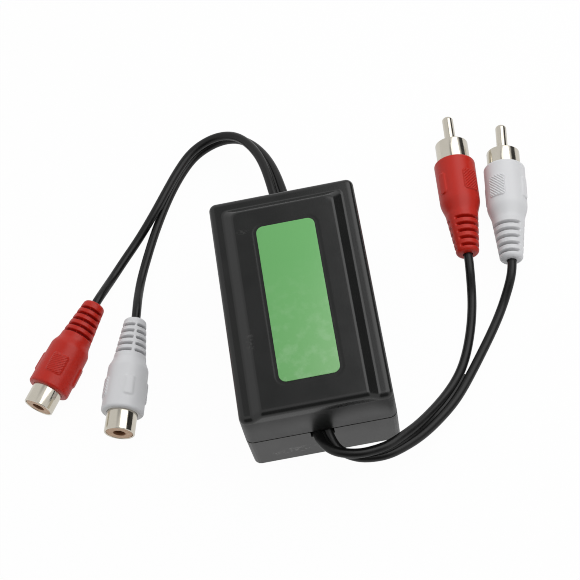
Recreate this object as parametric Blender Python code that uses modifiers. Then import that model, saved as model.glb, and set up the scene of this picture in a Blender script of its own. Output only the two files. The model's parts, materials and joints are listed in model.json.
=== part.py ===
"""Ground loop isolator: a two-part case with two transformers, two phono jacks and two phono plugs on leads.

Metres, +Z up. The origin is at the middle of the case's underside, and the leads leave its two end walls
along -Y (plugs) and +Y (jacks). The jacks and plugs lie on the plane z = 0 beside the case.
"""

import math

import bmesh
import bpy
import numpy
from mathutils import Matrix, Vector

CLEARANCE = 0.0003            # gap between pieces that touch

# Case: the length and width are those of the lid's rim, and the walls lean out towards the parting line
CASE_LENGTH = 0.067
CASE_WIDTH = 0.0405
RIM_HEIGHT = 0.02955
PARTING_HEIGHT = 0.0157
DRAFT = 0.011                 # lean of a wall, as sideways run over height
WALL = 0.002
CORNER_RADIUS = 0.002
ARC_STEPS = 4                 # flat faces in a quarter round of the case
TOP_FILLET = 0.0017
BOTTOM_FILLET = 0.0006

# Plateau on the lid, set in from the rim
PLATEAU_RISE = 0.00215
RIM_BESIDE_PLATEAU = 0.00355
RIM_BEHIND_PLATEAU = 0.0035
PLATEAU_SIDE_SLOPE = 0.00265
PLATEAU_END_SLOPE = 0.0023
PLATEAU_CORNER = 0.0017

# Label in its recess on the plateau
LABEL_LENGTH = 0.047
LABEL_WIDTH = 0.0161
LABEL_THICKNESS = 0.0002
LABEL_CORNER = 0.002
LABEL_FORWARD = 0.0018        # from the case's middle towards the plugs
RECESS_MARGIN = 0.0013
RECESS_DEPTH = 0.0004

# Screws from beneath, in the corners
SCREW_INSET = 0.0046          # from the case's rim to a screw's axis
SCREW_SHAFT_RADIUS = 0.0012
SCREW_LENGTH = 0.018
SCREW_HEAD_RADIUS = 0.002
SCREW_HEAD_HEIGHT = 0.0015
SCREW_HEAD_DEPTH = 0.003      # from the underside to the head
BOSS_WALL = 0.001
BOSS_ROOT = 0.0005            # how far a boss reaches into the wall it stands on
PILOT_SPARE = 0.001           # depth of a screw's hole beyond its tip

# Circuit board on the base's posts
BOARD_THICKNESS = 0.0016
BOARD_HEIGHT = 0.0083
BOARD_MARGIN = 0.0006
POST_RADIUS = 0.0018
POST_PIN_RADIUS = 0.0008
POST_INSET = 0.004            # from the board's edges to a post's axis

# Transformers, one before the other
CORE_STACK = 0.008
CORE_LEG = 0.006
CORE_SIDE_LEG = 0.0035
CORE_YOKE = 0.0028
WINDOW_WIDTH = 0.0055
WINDOW_HEIGHT = 0.0104
BOBBIN_WALL = 0.0007
FLANGE_THICKNESS = 0.0008
FLANGE_OVERHANG = 0.0042      # of the bobbin's flanges beyond its tube
WINDING_MARGIN = 0.0004
TRANSFORMER_GAP = 0.0012

# Leads
LEAD_DIAMETER = 0.0026
LEAD_PITCH = 0.0029           # between the two leads of a pair
LEAD_SIDES = 8
NOTCH_DEPTH = 0.0031
NOTCH_SIDE_GAP = 0.00045
TIE_THICKNESS = 0.0009
TIE_WIDTH = 0.0024
TIE_HEAD_LENGTH = 0.004
TIE_HEAD_HEIGHT = 0.0024

# Boots: radii from the rear, where the lead comes in, to the mouth
ROUND_STEPS = 24
GROOVE_WIDTH = 0.0011
GROOVE_DEPTH = 0.0008
PAD_RISE = 0.00033
PAD_RAMP = 0.0002
BOOT_REAR_FILLET = 0.0003
BOOT_MOUTH_FILLET = 0.0005

PLUG_BOOT_LENGTH = 0.0303
PLUG_BOOT_REAR_RADIUS = 0.0032
PLUG_BOOT_NECK_RADIUS = 0.0046
PLUG_BOOT_NECK_END = 0.0122
PLUG_BOOT_SHOULDER_END = 0.0173
PLUG_BOOT_BODY_RADIUS = 0.00575
PLUG_BOOT_MOUTH_RADIUS = 0.00595
PLUG_FIRST_GROOVE = 0.0018
PLUG_GROOVE_PITCH = 0.00215
PLUG_PAD_START = 0.018
PLUG_PAD_LENGTH = 0.0074

JACK_BOOT_LENGTH = 0.0288
JACK_BOOT_REAR_RADIUS = 0.0031
JACK_BOOT_NECK_RADIUS = 0.0046
JACK_BOOT_NECK_END = 0.0125
JACK_BOOT_SHOULDER_END = 0.016
JACK_BOOT_BODY_RADIUS = 0.0057
JACK_BOOT_MOUTH_RADIUS = 0.00597
JACK_FIRST_GROOVE = 0.0027
JACK_GROOVE_PITCH = 0.00205
JACK_PAD_START = 0.0189
JACK_PAD_LENGTH = 0.0065

GROOVE_COUNT = 5

# Phono plug: ferrule, insulator and pin
FERRULE_RADIUS = 0.00475
FERRULE_WALL = 0.0006
FERRULE_LENGTH = 0.0082       # of its rim, which stands partly inside the boot's mouth
FERRULE_SEAM = 0.0004
SHANK_RADIUS = 0.0034
SHANK_LENGTH = 0.006
PLUG_INSULATOR_COLLAR = 0.001
PIN_RADIUS = 0.0016
PIN_PROTRUSION = 0.0097       # beyond the ferrule

# Phono jack: barrel, insulator and contact
BARREL_RADIUS = 0.00427
BARREL_WALL = 0.0005
BARREL_LENGTH = 0.0163
JACK_HOLE_RADIUS = 0.00168
JACK_LIP = 0.0015             # thickness of the insulator's front wall
CONTACT_WALL = 0.0004
CONTACT_LENGTH = 0.012
SOCKET_DEPTH = 0.009

# Where each connector lies: its boot's rear end, its heading, its roll about its own axis, and how far
# its ferrule or barrel stands out of the boot
CONNECTORS = {
    "input_red_jack": {"rear": (-0.0587, 0.0218, 0.0062), "heading": -123.2, "roll": -11, "reach": 0.0057},
    "input_white_jack": {"rear": (-0.0476, 0.0143, 0.0062), "heading": -103.3, "roll": 67, "reach": 0.0059},
    "output_red_plug": {"rear": (0.0486, 0.0152, 0.0061), "heading": 86.3, "roll": 42, "reach": 0.0067},
    "output_white_plug": {"rear": (0.0601, 0.0106, 0.0063), "heading": 82.1, "roll": -27, "reach": 0.0052},
}

# Routes of the twin leads from inside the case to where they split: x, y, z and the twist in degrees
INPUT_PAIR_ROUTE = [
    (0.0, 0.0210, 0.0115, 0),
    (0.0, 0.0245, 0.0131, 0),
    (0.0, 0.0290, 0.0142, 0),
    (0.0, 0.0340, 0.0142, 0),
    (-0.0008, 0.0400, 0.0141, 10),
    (-0.0018, 0.0473, 0.0134, 26),
    (-0.0035, 0.0555, 0.0116, 44),
    (-0.0071, 0.0637, 0.0092, 60),
    (-0.0113, 0.0684, 0.0072, 73),
    (-0.0162, 0.0702, 0.0055, 85),
    (-0.0209, 0.0697, 0.0043, 92),
    (-0.0252, 0.0676, 0.0035, 94),
    (-0.0288, 0.0641, 0.0030, 95),
    (-0.0332, 0.0579, 0.0028, 98),
    (-0.0371, 0.0515, 0.0026, 112),
]
OUTPUT_PAIR_ROUTE = [
    (0.0, -0.0210, 0.0115, 180),
    (0.0, -0.0245, 0.0131, 180),
    (0.0, -0.0290, 0.0142, 180),
    (0.0001, -0.0335, 0.0142, 176),
    (0.0010, -0.0366, 0.0141, 150),
    (0.0029, -0.0391, 0.0139, 125),
    (0.0055, -0.0406, 0.0136, 106),
    (0.0087, -0.0415, 0.0132, 90),
    (0.0122, -0.0415, 0.0125, 76),
    (0.0160, -0.0409, 0.0119, 64),
    (0.0199, -0.0391, 0.0106, 52),
    (0.0247, -0.0359, 0.0082, 37),
    (0.0301, -0.0312, 0.0054, 20),
    (0.0356, -0.0256, 0.0031, 7),
    (0.0406, -0.0192, 0.0019, 0),
]

# Routes of the single leads from there to their boots
SINGLE_ROUTES = {
    "input_red_lead": [(-0.0457, 0.0422, 0.0015), (-0.0500, 0.0369, 0.0014), (-0.0530, 0.0327, 0.0018),
                       (-0.0551, 0.0288, 0.0034), (-0.0566, 0.0255, 0.0052)],
    "input_white_lead": [(-0.0400, 0.0438, 0.0014), (-0.0429, 0.0366, 0.0014), (-0.0453, 0.0295, 0.0018),
                         (-0.0462, 0.0244, 0.0035), (-0.0467, 0.0197, 0.0055)],
    "output_red_lead": [(0.0441, -0.0083, 0.0014), (0.0461, -0.0017, 0.0014), (0.0473, 0.0039, 0.0020),
                        (0.0478, 0.0073, 0.0036), (0.0482, 0.0106, 0.0054)],
    "output_white_lead": [(0.0469, -0.0129, 0.0014), (0.0511, -0.0069, 0.0014), (0.0548, -0.0011, 0.0019),
                          (0.0571, 0.0027, 0.0036), (0.0588, 0.0059, 0.0054)],
}


def remove_scene_objects():
    for old in list(bpy.data.objects):
        bpy.data.objects.remove(old, do_unlink=True)


def new_collection(name):
    collection = bpy.data.collections.new(name)
    bpy.context.scene.collection.children.link(collection)
    return collection


def new_material(name, colour, roughness, metallic=0.0):
    material = bpy.data.materials.new(name)
    material.use_nodes = True
    shader = material.node_tree.nodes["Principled BSDF"]
    shader.inputs["Base Color"].default_value = (*colour, 1.0)
    shader.inputs["Roughness"].default_value = roughness
    shader.inputs["Metallic"].default_value = metallic
    return material


remove_scene_objects()
PARTS = new_collection("ground_loop_isolator")
CUTTERS = new_collection("cutters")

BLACK_PLASTIC = ((0.022, 0.022, 0.022), 0.35)
GREEN_VINYL = ((0.19, 0.50, 0.19), 0.4)
STEEL = ((0.55, 0.55, 0.56), 0.3, 1.0)
GREEN_BOARD = ((0.03, 0.16, 0.07), 0.45)
CORE_IRON = ((0.25, 0.25, 0.27), 0.45, 1.0)
BOBBIN_NYLON = ((0.75, 0.73, 0.66), 0.5)
COPPER_WIRE = ((0.72, 0.30, 0.12), 0.3, 1.0)
NYLON_TIE = ((0.80, 0.80, 0.78), 0.5)
BLACK_PVC = ((0.02, 0.02, 0.02), 0.4)
RED_PVC = ((0.52, 0.04, 0.03), 0.4)
WHITE_PVC = ((0.80, 0.80, 0.82), 0.4)
NICKEL = ((0.78, 0.75, 0.70), 0.18, 1.0)
TAN_PHENOLIC = ((0.60, 0.36, 0.20), 0.5)


def shade(mesh, sharp_angle=35):
    mesh.shade_smooth()
    mesh.set_sharp_from_angle(angle=math.radians(sharp_angle))


def add_part(name, mesh, finish):
    """Put a mesh in the scene as a sub-part with a material of its own."""
    part = bpy.data.objects.new(name, mesh)
    mesh.materials.append(new_material(name, *finish))
    PARTS.objects.link(part)
    return part


def mesh_from(cage, name):
    """Turn a bmesh into a mesh with outward faces."""
    bmesh.ops.recalc_face_normals(cage, faces=cage.faces)
    mesh = bpy.data.meshes.new(name)
    cage.to_mesh(mesh)
    cage.free()
    shade(mesh)
    return mesh


def box(low, high):
    """A bmesh box between two corners."""
    cage = bmesh.new()
    low, high = Vector(low), Vector(high)
    place = Matrix.Translation((low + high) / 2) @ Matrix.Diagonal((*(high - low), 1.0))
    bmesh.ops.create_cube(cage, size=1.0, matrix=place)
    return cage


def cylinder(centre, radius, bottom, top):
    """An upright bmesh cylinder over a point of the plan."""
    cage = bmesh.new()
    place = Matrix.Translation((centre[0], centre[1], (bottom + top) / 2))
    bmesh.ops.create_cone(cage, cap_ends=True, segments=ROUND_STEPS // 2, radius1=radius, radius2=radius,
                          depth=top - bottom, matrix=place)
    return cage


def bevel_where(cage, radius, segments, wanted):
    edges = [edge for edge in cage.edges if wanted(edge)]
    bmesh.ops.bevel(cage, geom=edges, offset=radius, segments=segments, profile=0.5, affect="EDGES")


def combine(part, cage, operation):
    """Join a shape to a part, or cut it away, with a Boolean modifier."""
    mesh = mesh_from(cage, part.name + "_tool")
    tool = bpy.data.objects.new(mesh.name, mesh)
    CUTTERS.objects.link(tool)
    tool.hide_render = True
    tool.display_type = "WIRE"
    tool.parent = part.parent
    step = part.modifiers.new(operation.lower(), "BOOLEAN")
    step.operation = operation
    step.solver = "EXACT"
    step.object = tool


def wall_lean(height):
    """How far the case's outside stands out beyond the rim's size at a height."""
    if height >= PARTING_HEIGHT:
        return DRAFT * (RIM_HEIGHT - height)
    return DRAFT * (RIM_HEIGHT - PARTING_HEIGHT) - DRAFT * (PARTING_HEIGHT - height)


def case_corner(side, end, height):
    """The outside corner of the case on one side (-1 or 1) and one end (-1 or 1)."""
    lean = wall_lean(height)
    return Vector((side * (CASE_WIDTH / 2 + lean), end * (CASE_LENGTH / 2 + lean), height))


def corner_pairs(inset_x, inset_y):
    """Four places set in from the corners of the case's rim, with their names."""
    for end, end_name in ((-1, "front"), (1, "rear")):
        for side, side_name in ((-1, "left"), (1, "right")):
            place = (side * (CASE_WIDTH / 2 - inset_x), end * (CASE_LENGTH / 2 - inset_y))
            yield end_name + "_" + side_name, place


def is_upright(edge):
    first, last = (vertex.co for vertex in edge.verts)
    return abs(last.z - first.z) > 2 * (abs(last.x - first.x) + abs(last.y - first.y))


def is_top_outline(edge):
    """Whether an edge of the lid's cage runs round the top of its outer walls."""
    middle = (edge.verts[0].co + edge.verts[1].co) / 2
    above_rim = min(vertex.co.z for vertex in edge.verts) > RIM_HEIGHT - CLEARANCE
    outside = max(abs(middle.x) - CASE_WIDTH / 2, abs(middle.y) - CASE_LENGTH / 2) > -CORNER_RADIUS / 2
    return above_rim and outside


def plateau_outline(half_width, end, corner, height):
    """The plateau's outline at a height: open at the front wall, with two rounded corners behind."""
    front = -CASE_LENGTH / 2 - wall_lean(height)
    points = [Vector((-half_width, front, height))]
    for side, start in ((-1, 180), (1, 90)):
        centre = Vector((side * (half_width - corner), end - corner, height))
        for step in range(ARC_STEPS + 1):
            angle = math.radians(start - 90 * step / ARC_STEPS)
            points.append(centre + corner * Vector((math.cos(angle), math.sin(angle), 0)))
    points.append(Vector((half_width, front, height)))
    return points


def build_case_lid():
    """The lid: a cage of its outside with the plateau, rounded, then hollowed."""
    bottom = PARTING_HEIGHT + CLEARANCE / 2
    foot_half = CASE_WIDTH / 2 - RIM_BESIDE_PLATEAU
    foot_end = CASE_LENGTH / 2 - RIM_BEHIND_PLATEAU
    top_height = RIM_HEIGHT + PLATEAU_RISE
    cage = bmesh.new()

    def ring(points):
        return [cage.verts.new(point) for point in points]

    foot = ring(plateau_outline(foot_half, foot_end, PLATEAU_CORNER, RIM_HEIGHT))
    top = ring(plateau_outline(foot_half - PLATEAU_SIDE_SLOPE, foot_end - PLATEAU_END_SLOPE,
                               PLATEAU_CORNER, top_height))
    around = ((-1, -1), (-1, 1), (1, 1), (1, -1))
    rim = ring(case_corner(side, end, RIM_HEIGHT) for side, end in around)
    skirt = ring(case_corner(side, end, bottom) for side, end in around)
    for step in range(len(foot) - 1):
        cage.faces.new((foot[step], foot[step + 1], top[step + 1], top[step]))
    cage.faces.new(top)
    cage.faces.new(rim + foot[::-1])
    for step in range(3):
        cage.faces.new((rim[step], rim[step + 1], skirt[step + 1], skirt[step]))
    cage.faces.new([skirt[3], skirt[0], rim[0], foot[0], top[0], top[-1], foot[-1], rim[3]])
    cage.faces.new(skirt)
    bmesh.ops.recalc_face_normals(cage, faces=cage.faces)
    bevel_where(cage, CORNER_RADIUS, ARC_STEPS, is_upright)
    bevel_where(cage, TOP_FILLET, ARC_STEPS, is_top_outline)
    lid = add_part("case_lid", mesh_from(cage, "case_lid"), BLACK_PLASTIC)
    hollow_lid(lid, bottom, foot_half, foot_end)
    return lid


def hollow_lid(lid, bottom, foot_half, foot_end):
    """Cut the lid's inside, then add the screw bosses and the label's recess."""
    ceiling = RIM_HEIGHT - WALL
    half_width = CASE_WIDTH / 2 - WALL
    half_length = CASE_LENGTH / 2 - WALL
    combine(lid, box((-half_width, -half_length, 0), (half_width, half_length, ceiling)), "DIFFERENCE")
    pocket_half = foot_half - PLATEAU_SIDE_SLOPE - WALL / 2
    pocket_end = foot_end - PLATEAU_END_SLOPE - WALL / 2
    pocket = box((-pocket_half, -half_length, ceiling - WALL),
                 (pocket_half, pocket_end, ceiling + PLATEAU_RISE))
    combine(lid, pocket, "DIFFERENCE")
    pilot_radius = SCREW_SHAFT_RADIUS + CLEARANCE
    for _, place in corner_pairs(SCREW_INSET, SCREW_INSET):
        combine(lid, cylinder(place, pilot_radius + BOSS_WALL, bottom, ceiling + BOSS_ROOT), "UNION")
        combine(lid, cylinder(place, pilot_radius, 0, screw_top() + PILOT_SPARE), "DIFFERENCE")
    recess = rounded_plate(LABEL_WIDTH / 2 + RECESS_MARGIN, LABEL_LENGTH / 2 + RECESS_MARGIN,
                           LABEL_CORNER + RECESS_MARGIN, label_floor(), RIM_HEIGHT + PLATEAU_RISE + WALL)
    combine(lid, recess, "DIFFERENCE")


def label_floor():
    return RIM_HEIGHT + PLATEAU_RISE - RECESS_DEPTH


def rounded_plate(half_width, half_length, corner, bottom, top):
    """A flat plate with round corners, centred where the label is."""
    cage = box((-half_width, -half_length - LABEL_FORWARD, bottom), (half_width, half_length - LABEL_FORWARD, top))
    bevel_where(cage, corner, 5, is_upright_straight)
    return cage


def is_upright_straight(edge):
    first, last = (vertex.co for vertex in edge.verts)
    return abs(last.x - first.x) + abs(last.y - first.y) < CLEARANCE


def build_label():
    bottom = label_floor() + CLEARANCE
    plate = rounded_plate(LABEL_WIDTH / 2, LABEL_LENGTH / 2, LABEL_CORNER, bottom, bottom + LABEL_THICKNESS)
    return add_part("label", mesh_from(plate, "label"), GREEN_VINYL)


def pair_half_width():
    return (LEAD_PITCH + LEAD_DIAMETER) / 2


def lead_exit_height():
    return PARTING_HEIGHT - NOTCH_DEPTH + CLEARANCE + LEAD_DIAMETER / 2


def build_case_base():
    """The base: a tapered box, rounded, hollowed, with bosses, posts and the leads' notches."""
    top = PARTING_HEIGHT - CLEARANCE / 2
    cage = bmesh.new()
    around = ((-1, -1), (-1, 1), (1, 1), (1, -1))
    low = [cage.verts.new(case_corner(side, end, 0)) for side, end in around]
    high = [cage.verts.new(case_corner(side, end, top)) for side, end in around]
    cage.faces.new(low)
    cage.faces.new(high)
    for step in range(4):
        after = (step + 1) % 4
        cage.faces.new((low[step], low[after], high[after], high[step]))
    bmesh.ops.recalc_face_normals(cage, faces=cage.faces)
    bevel_where(cage, CORNER_RADIUS, ARC_STEPS, is_upright)
    bevel_where(cage, BOTTOM_FILLET, 2, lambda edge: max(vertex.co.z for vertex in edge.verts) < CLEARANCE)
    base = add_part("case_base", mesh_from(cage, "case_base"), BLACK_PLASTIC)

    half_width = CASE_WIDTH / 2 - WALL
    half_length = CASE_LENGTH / 2 - WALL
    cavity = box((-half_width, -half_length, WALL), (half_width, half_length, RIM_HEIGHT))
    combine(base, cavity, "DIFFERENCE")
    head_hole = SCREW_HEAD_RADIUS + CLEARANCE
    seat = SCREW_HEAD_DEPTH + SCREW_HEAD_HEIGHT + CLEARANCE
    for _, place in corner_pairs(SCREW_INSET, SCREW_INSET):
        combine(base, cylinder(place, head_hole + BOSS_WALL, WALL - BOSS_ROOT, top), "UNION")
        combine(base, cylinder(place, head_hole, -WALL, seat), "DIFFERENCE")
        combine(base, cylinder(place, SCREW_SHAFT_RADIUS + CLEARANCE, 0, RIM_HEIGHT), "DIFFERENCE")
    for _, place in board_posts():
        combine(base, cylinder(place, POST_RADIUS, WALL - BOSS_ROOT, BOARD_HEIGHT - CLEARANCE), "UNION")
        combine(base, cylinder(place, POST_PIN_RADIUS, WALL, BOARD_HEIGHT + BOARD_THICKNESS), "UNION")
    notch_half = pair_half_width() + NOTCH_SIDE_GAP
    notch = box((-notch_half, -CASE_LENGTH, PARTING_HEIGHT - NOTCH_DEPTH), (notch_half, CASE_LENGTH, RIM_HEIGHT))
    combine(base, notch, "DIFFERENCE")
    return base


def screw_top():
    return SCREW_HEAD_DEPTH + SCREW_HEAD_HEIGHT + SCREW_LENGTH


def build_screws():
    for name, place in corner_pairs(SCREW_INSET, SCREW_INSET):
        head_top = SCREW_HEAD_DEPTH + SCREW_HEAD_HEIGHT
        outline = [(0, screw_top()), (SCREW_SHAFT_RADIUS, screw_top() - SCREW_SHAFT_RADIUS),
                   (SCREW_SHAFT_RADIUS, head_top), (SCREW_HEAD_RADIUS, head_top),
                   (SCREW_HEAD_RADIUS, SCREW_HEAD_DEPTH), (0, SCREW_HEAD_DEPTH)]
        screw = turned("screw_" + name, outline, STEEL, steps=ROUND_STEPS // 2)
        screw.location = (*place, 0)


def board_half_size():
    boss_edge = SCREW_INSET + SCREW_HEAD_RADIUS + CLEARANCE + BOSS_WALL
    return CASE_WIDTH / 2 - WALL - BOARD_MARGIN, CASE_LENGTH / 2 - boss_edge - BOARD_MARGIN


def board_posts():
    half_width, half_length = board_half_size()
    return corner_pairs(CASE_WIDTH / 2 - half_width + POST_INSET, CASE_LENGTH / 2 - half_length + POST_INSET)


def build_circuit_board():
    half_width, half_length = board_half_size()
    top = BOARD_HEIGHT + BOARD_THICKNESS
    plate = box((-half_width, -half_length, BOARD_HEIGHT), (half_width, half_length, top))
    board = add_part("circuit_board", mesh_from(plate, "circuit_board"), GREEN_BOARD)
    for _, place in board_posts():
        hole = cylinder(place, POST_PIN_RADIUS + CLEARANCE, 0, top + WALL)
        combine(board, hole, "DIFFERENCE")


def centred_box(centre, size):
    half = Vector(size) / 2
    return box(Vector(centre) - half, Vector(centre) + half)


def flange_overhang():
    return min(FLANGE_OVERHANG, WINDOW_WIDTH - BOBBIN_WALL - 2 * CLEARANCE)


def build_transformer(name, middle):
    """One transformer: a laminated core, the bobbin round its middle leg, and the winding on it."""
    yoke_bottom = BOARD_HEIGHT + BOARD_THICKNESS + CLEARANCE
    window_middle = yoke_bottom + CORE_YOKE + WINDOW_HEIGHT / 2
    centre = (0, middle, window_middle)
    width = CORE_LEG + 2 * (WINDOW_WIDTH + CORE_SIDE_LEG)
    block = centred_box(centre, (width, CORE_STACK, WINDOW_HEIGHT + 2 * CORE_YOKE))
    core = add_part(name + "_core", mesh_from(block, name + "_core"), CORE_IRON)
    for side in (-1, 1):
        beside = (side * (CORE_LEG + WINDOW_WIDTH) / 2, middle, window_middle)
        combine(core, centred_box(beside, (WINDOW_WIDTH, 2 * CORE_STACK, WINDOW_HEIGHT)), "DIFFERENCE")

    hole = (CORE_LEG + 2 * CLEARANCE, CORE_STACK + 2 * CLEARANCE)
    tube = (hole[0] + 2 * BOBBIN_WALL, hole[1] + 2 * BOBBIN_WALL)
    height = WINDOW_HEIGHT - 2 * CLEARANCE
    overhang = flange_overhang()
    flange = (tube[0] + 2 * overhang, tube[1] + 2 * overhang, FLANGE_THICKNESS)
    spool = add_part(name + "_bobbin", mesh_from(centred_box(centre, (*tube, height)), name + "_bobbin"),
                     BOBBIN_NYLON)
    for side in (-1, 1):
        level = window_middle + side * (height - FLANGE_THICKNESS) / 2
        combine(spool, centred_box((0, middle, level), flange), "UNION")
    combine(spool, centred_box(centre, (*hole, 2 * height)), "DIFFERENCE")

    coil_height = height - 2 * (FLANGE_THICKNESS + CLEARANCE)
    coil = centred_box(centre, (flange[0] - 2 * WINDING_MARGIN, flange[1] - 2 * WINDING_MARGIN, coil_height))
    bevel_where(coil, overhang / 2, 3, is_upright_straight)
    winding = add_part(name + "_winding", mesh_from(coil, name + "_winding"), COPPER_WIRE)
    inside = (tube[0] + 2 * CLEARANCE, tube[1] + 2 * CLEARANCE, 2 * height)
    combine(winding, centred_box(centre, inside), "DIFFERENCE")


def build_transformers():
    depth = CORE_STACK + 2 * (CLEARANCE + BOBBIN_WALL + flange_overhang())
    offset = (depth + TRANSFORMER_GAP) / 2
    build_transformer("front", -offset)
    build_transformer("rear", offset)


def build_cable_tie(name, end):
    """A tie round the pair of leads, just inside the end wall."""
    middle = end * (CASE_LENGTH / 2 - WALL - CLEARANCE - TIE_WIDTH / 2)
    inner = (2 * (pair_half_width() + CLEARANCE), LEAD_DIAMETER + 2 * CLEARANCE)
    centre = Vector((0, middle, lead_exit_height()))
    band = centred_box(centre, (inner[0] + 2 * TIE_THICKNESS, TIE_WIDTH, inner[1] + 2 * TIE_THICKNESS))
    tie = add_part(name, mesh_from(band, name), NYLON_TIE)
    head_level = inner[1] / 2 + TIE_THICKNESS / 2 + TIE_HEAD_HEIGHT / 2
    head = centred_box(centre + Vector((0, 0, head_level)), (TIE_HEAD_LENGTH, TIE_WIDTH, TIE_HEAD_HEIGHT))
    combine(tie, head, "UNION")
    combine(tie, centred_box(centre, (inner[0], 2 * TIE_WIDTH, inner[1])), "DIFFERENCE")


def turned(name, outline, finish, steps=ROUND_STEPS, closed=False):
    """A turned piece: an outline of (radius, height) that runs down its outer side, spun round Z."""
    cage = bmesh.new()
    points = [cage.verts.new((radius, 0, height)) for radius, height in outline]
    for first, last in zip(points, points[1:]):
        cage.edges.new((first, last))
    if closed:
        cage.edges.new((points[-1], points[0]))
    mesh = bpy.data.meshes.new(name)
    cage.to_mesh(mesh)
    cage.free()
    part = add_part(name, mesh, finish)
    spin = part.modifiers.new("spin", "SCREW")
    spin.axis = "Z"
    spin.steps = steps
    spin.render_steps = steps
    spin.use_merge_vertices = True
    spin.merge_threshold = 0.00001
    spin.use_smooth_shade = True
    return part


def connector_frame(name):
    """The connector's own frame: Z along its axis towards the mouth, X up before it is rolled."""
    spot = CONNECTORS[name]
    heading = math.radians(spot["heading"])
    along = Vector((math.cos(heading), math.sin(heading), 0))
    up = Vector((0, 0, 1))
    right = along.cross(up)
    turn = Matrix((up, right, along)).transposed().to_4x4()
    roll = Matrix.Rotation(math.radians(spot["roll"]), 4, "Z")
    return Matrix.Translation(spot["rear"]) @ turn @ roll


def add_holder(name):
    holder = bpy.data.objects.new(name, None)
    PARTS.objects.link(holder)
    holder.matrix_world = connector_frame(name)
    return holder


def smooth_step(value):
    value = min(max(value, 0.0), 1.0)
    return value * value * (3 - 2 * value)


def boot_radius(kind, along):
    """Radius of the plain boot at a distance from its rear."""
    if along <= kind["neck_end"]:
        share = along / kind["neck_end"]
        return kind["rear_radius"] + (kind["neck_radius"] - kind["rear_radius"]) * share
    if along <= kind["shoulder_end"]:
        share = (along - kind["neck_end"]) / (kind["shoulder_end"] - kind["neck_end"])
        return kind["neck_radius"] + (kind["body_radius"] - kind["neck_radius"]) * smooth_step(share)
    share = (along - kind["shoulder_end"]) / (kind["length"] - kind["shoulder_end"])
    return kind["body_radius"] + (kind["mouth_radius"] - kind["body_radius"]) * share


def boot_stations(kind):
    """Distance from the rear, fillet, groove depth and pad rise of each ring of the boot's outside."""
    stations = [(0, BOOT_REAR_FILLET, 0, 0), (BOOT_REAR_FILLET, 0, 0, 0)]
    for count in range(GROOVE_COUNT):
        middle = kind["first_groove"] + count * kind["groove_pitch"]
        stations.append((middle - GROOVE_WIDTH / 2, 0, 0, 0))
        stations.append((middle, 0, GROOVE_DEPTH, 0))
        stations.append((middle + GROOVE_WIDTH / 2, 0, 0, 0))
    shoulder = kind["shoulder_end"] - kind["neck_end"]
    for share in (0, 0.3, 0.7, 1):
        stations.append((kind["neck_end"] + share * shoulder, 0, 0, 0))
    pad_end = kind["pad_start"] + kind["pad_length"]
    stations.append((kind["pad_start"], 0, 0, 0))
    stations.append((kind["pad_start"] + PAD_RAMP, 0, 0, PAD_RISE))
    stations.append((pad_end - PAD_RAMP, 0, 0, PAD_RISE))
    stations.append((pad_end, 0, 0, 0))
    stations.append((kind["length"] - BOOT_MOUTH_FILLET, 0, 0, 0))
    stations.append((kind["length"], BOOT_MOUTH_FILLET, 0, 0))
    return stations


def within(angle, centres, half_width):
    return any(abs((angle - centre + 180) % 360 - 180) <= half_width for centre in centres)


def build_boot(name, kind, finish, holder):
    """A moulded boot: rings whose radius depends on the angle, joined, with a stepped bore through them."""
    cage = bmesh.new()
    rings = []

    def add_ring(along, radius_at):
        angles = [360 * step / ROUND_STEPS for step in range(ROUND_STEPS)]
        rings.append([cage.verts.new((radius_at(angle) * math.cos(math.radians(angle)),
                                      radius_at(angle) * math.sin(math.radians(angle)), along))
                      for angle in angles])

    for along, fillet, groove, pad in boot_stations(kind):
        plain = boot_radius(kind, along) - fillet

        def radius_at(angle, plain=plain, groove=groove, pad=pad):
            webbed = within(angle, kind["web_angles"], kind["web_half_width"])
            raised = any(within(angle, centres, half) for centres, half in kind["pads"])
            return plain - (0 if webbed else groove) + (pad if raised else 0)

        add_ring(along, radius_at)
    for along, radius in kind["bore"]:
        add_ring(along, lambda angle, radius=radius: radius)
    rings.append(rings[0])
    for near, far in zip(rings, rings[1:]):
        for step in range(ROUND_STEPS):
            after = (step + 1) % ROUND_STEPS
            cage.faces.new((near[step], near[after], far[after], far[step]))
    boot = add_part(name, mesh_from(cage, name), finish)
    boot.parent = holder


def ferrule_rear(reach):
    """Where the ferrule's rim ends inside a plug's boot, with the shank behind it."""
    return PLUG_BOOT_LENGTH + reach - FERRULE_LENGTH


def barrel_rear(reach):
    return JACK_BOOT_LENGTH + reach - BARREL_LENGTH


def plug_boot(reach):
    seat = ferrule_rear(reach) - CLEARANCE
    shank_end = seat - SHANK_LENGTH - CLEARANCE
    wide, middle, narrow = FERRULE_RADIUS + CLEARANCE, SHANK_RADIUS + CLEARANCE, LEAD_DIAMETER / 2 + CLEARANCE
    return {
        "length": PLUG_BOOT_LENGTH, "rear_radius": PLUG_BOOT_REAR_RADIUS, "neck_radius": PLUG_BOOT_NECK_RADIUS,
        "neck_end": PLUG_BOOT_NECK_END, "shoulder_end": PLUG_BOOT_SHOULDER_END,
        "body_radius": PLUG_BOOT_BODY_RADIUS, "mouth_radius": PLUG_BOOT_MOUTH_RADIUS,
        "first_groove": PLUG_FIRST_GROOVE, "groove_pitch": PLUG_GROOVE_PITCH,
        "pad_start": PLUG_PAD_START, "pad_length": PLUG_PAD_LENGTH,
        "web_angles": (90, 270), "web_half_width": 18, "pads": (((0, 180), 26), ((90, 270), 19)),
        "bore": ((PLUG_BOOT_LENGTH, wide), (seat, wide), (seat, middle), (shank_end, middle),
                 (shank_end, narrow), (0, narrow)),
    }


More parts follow.
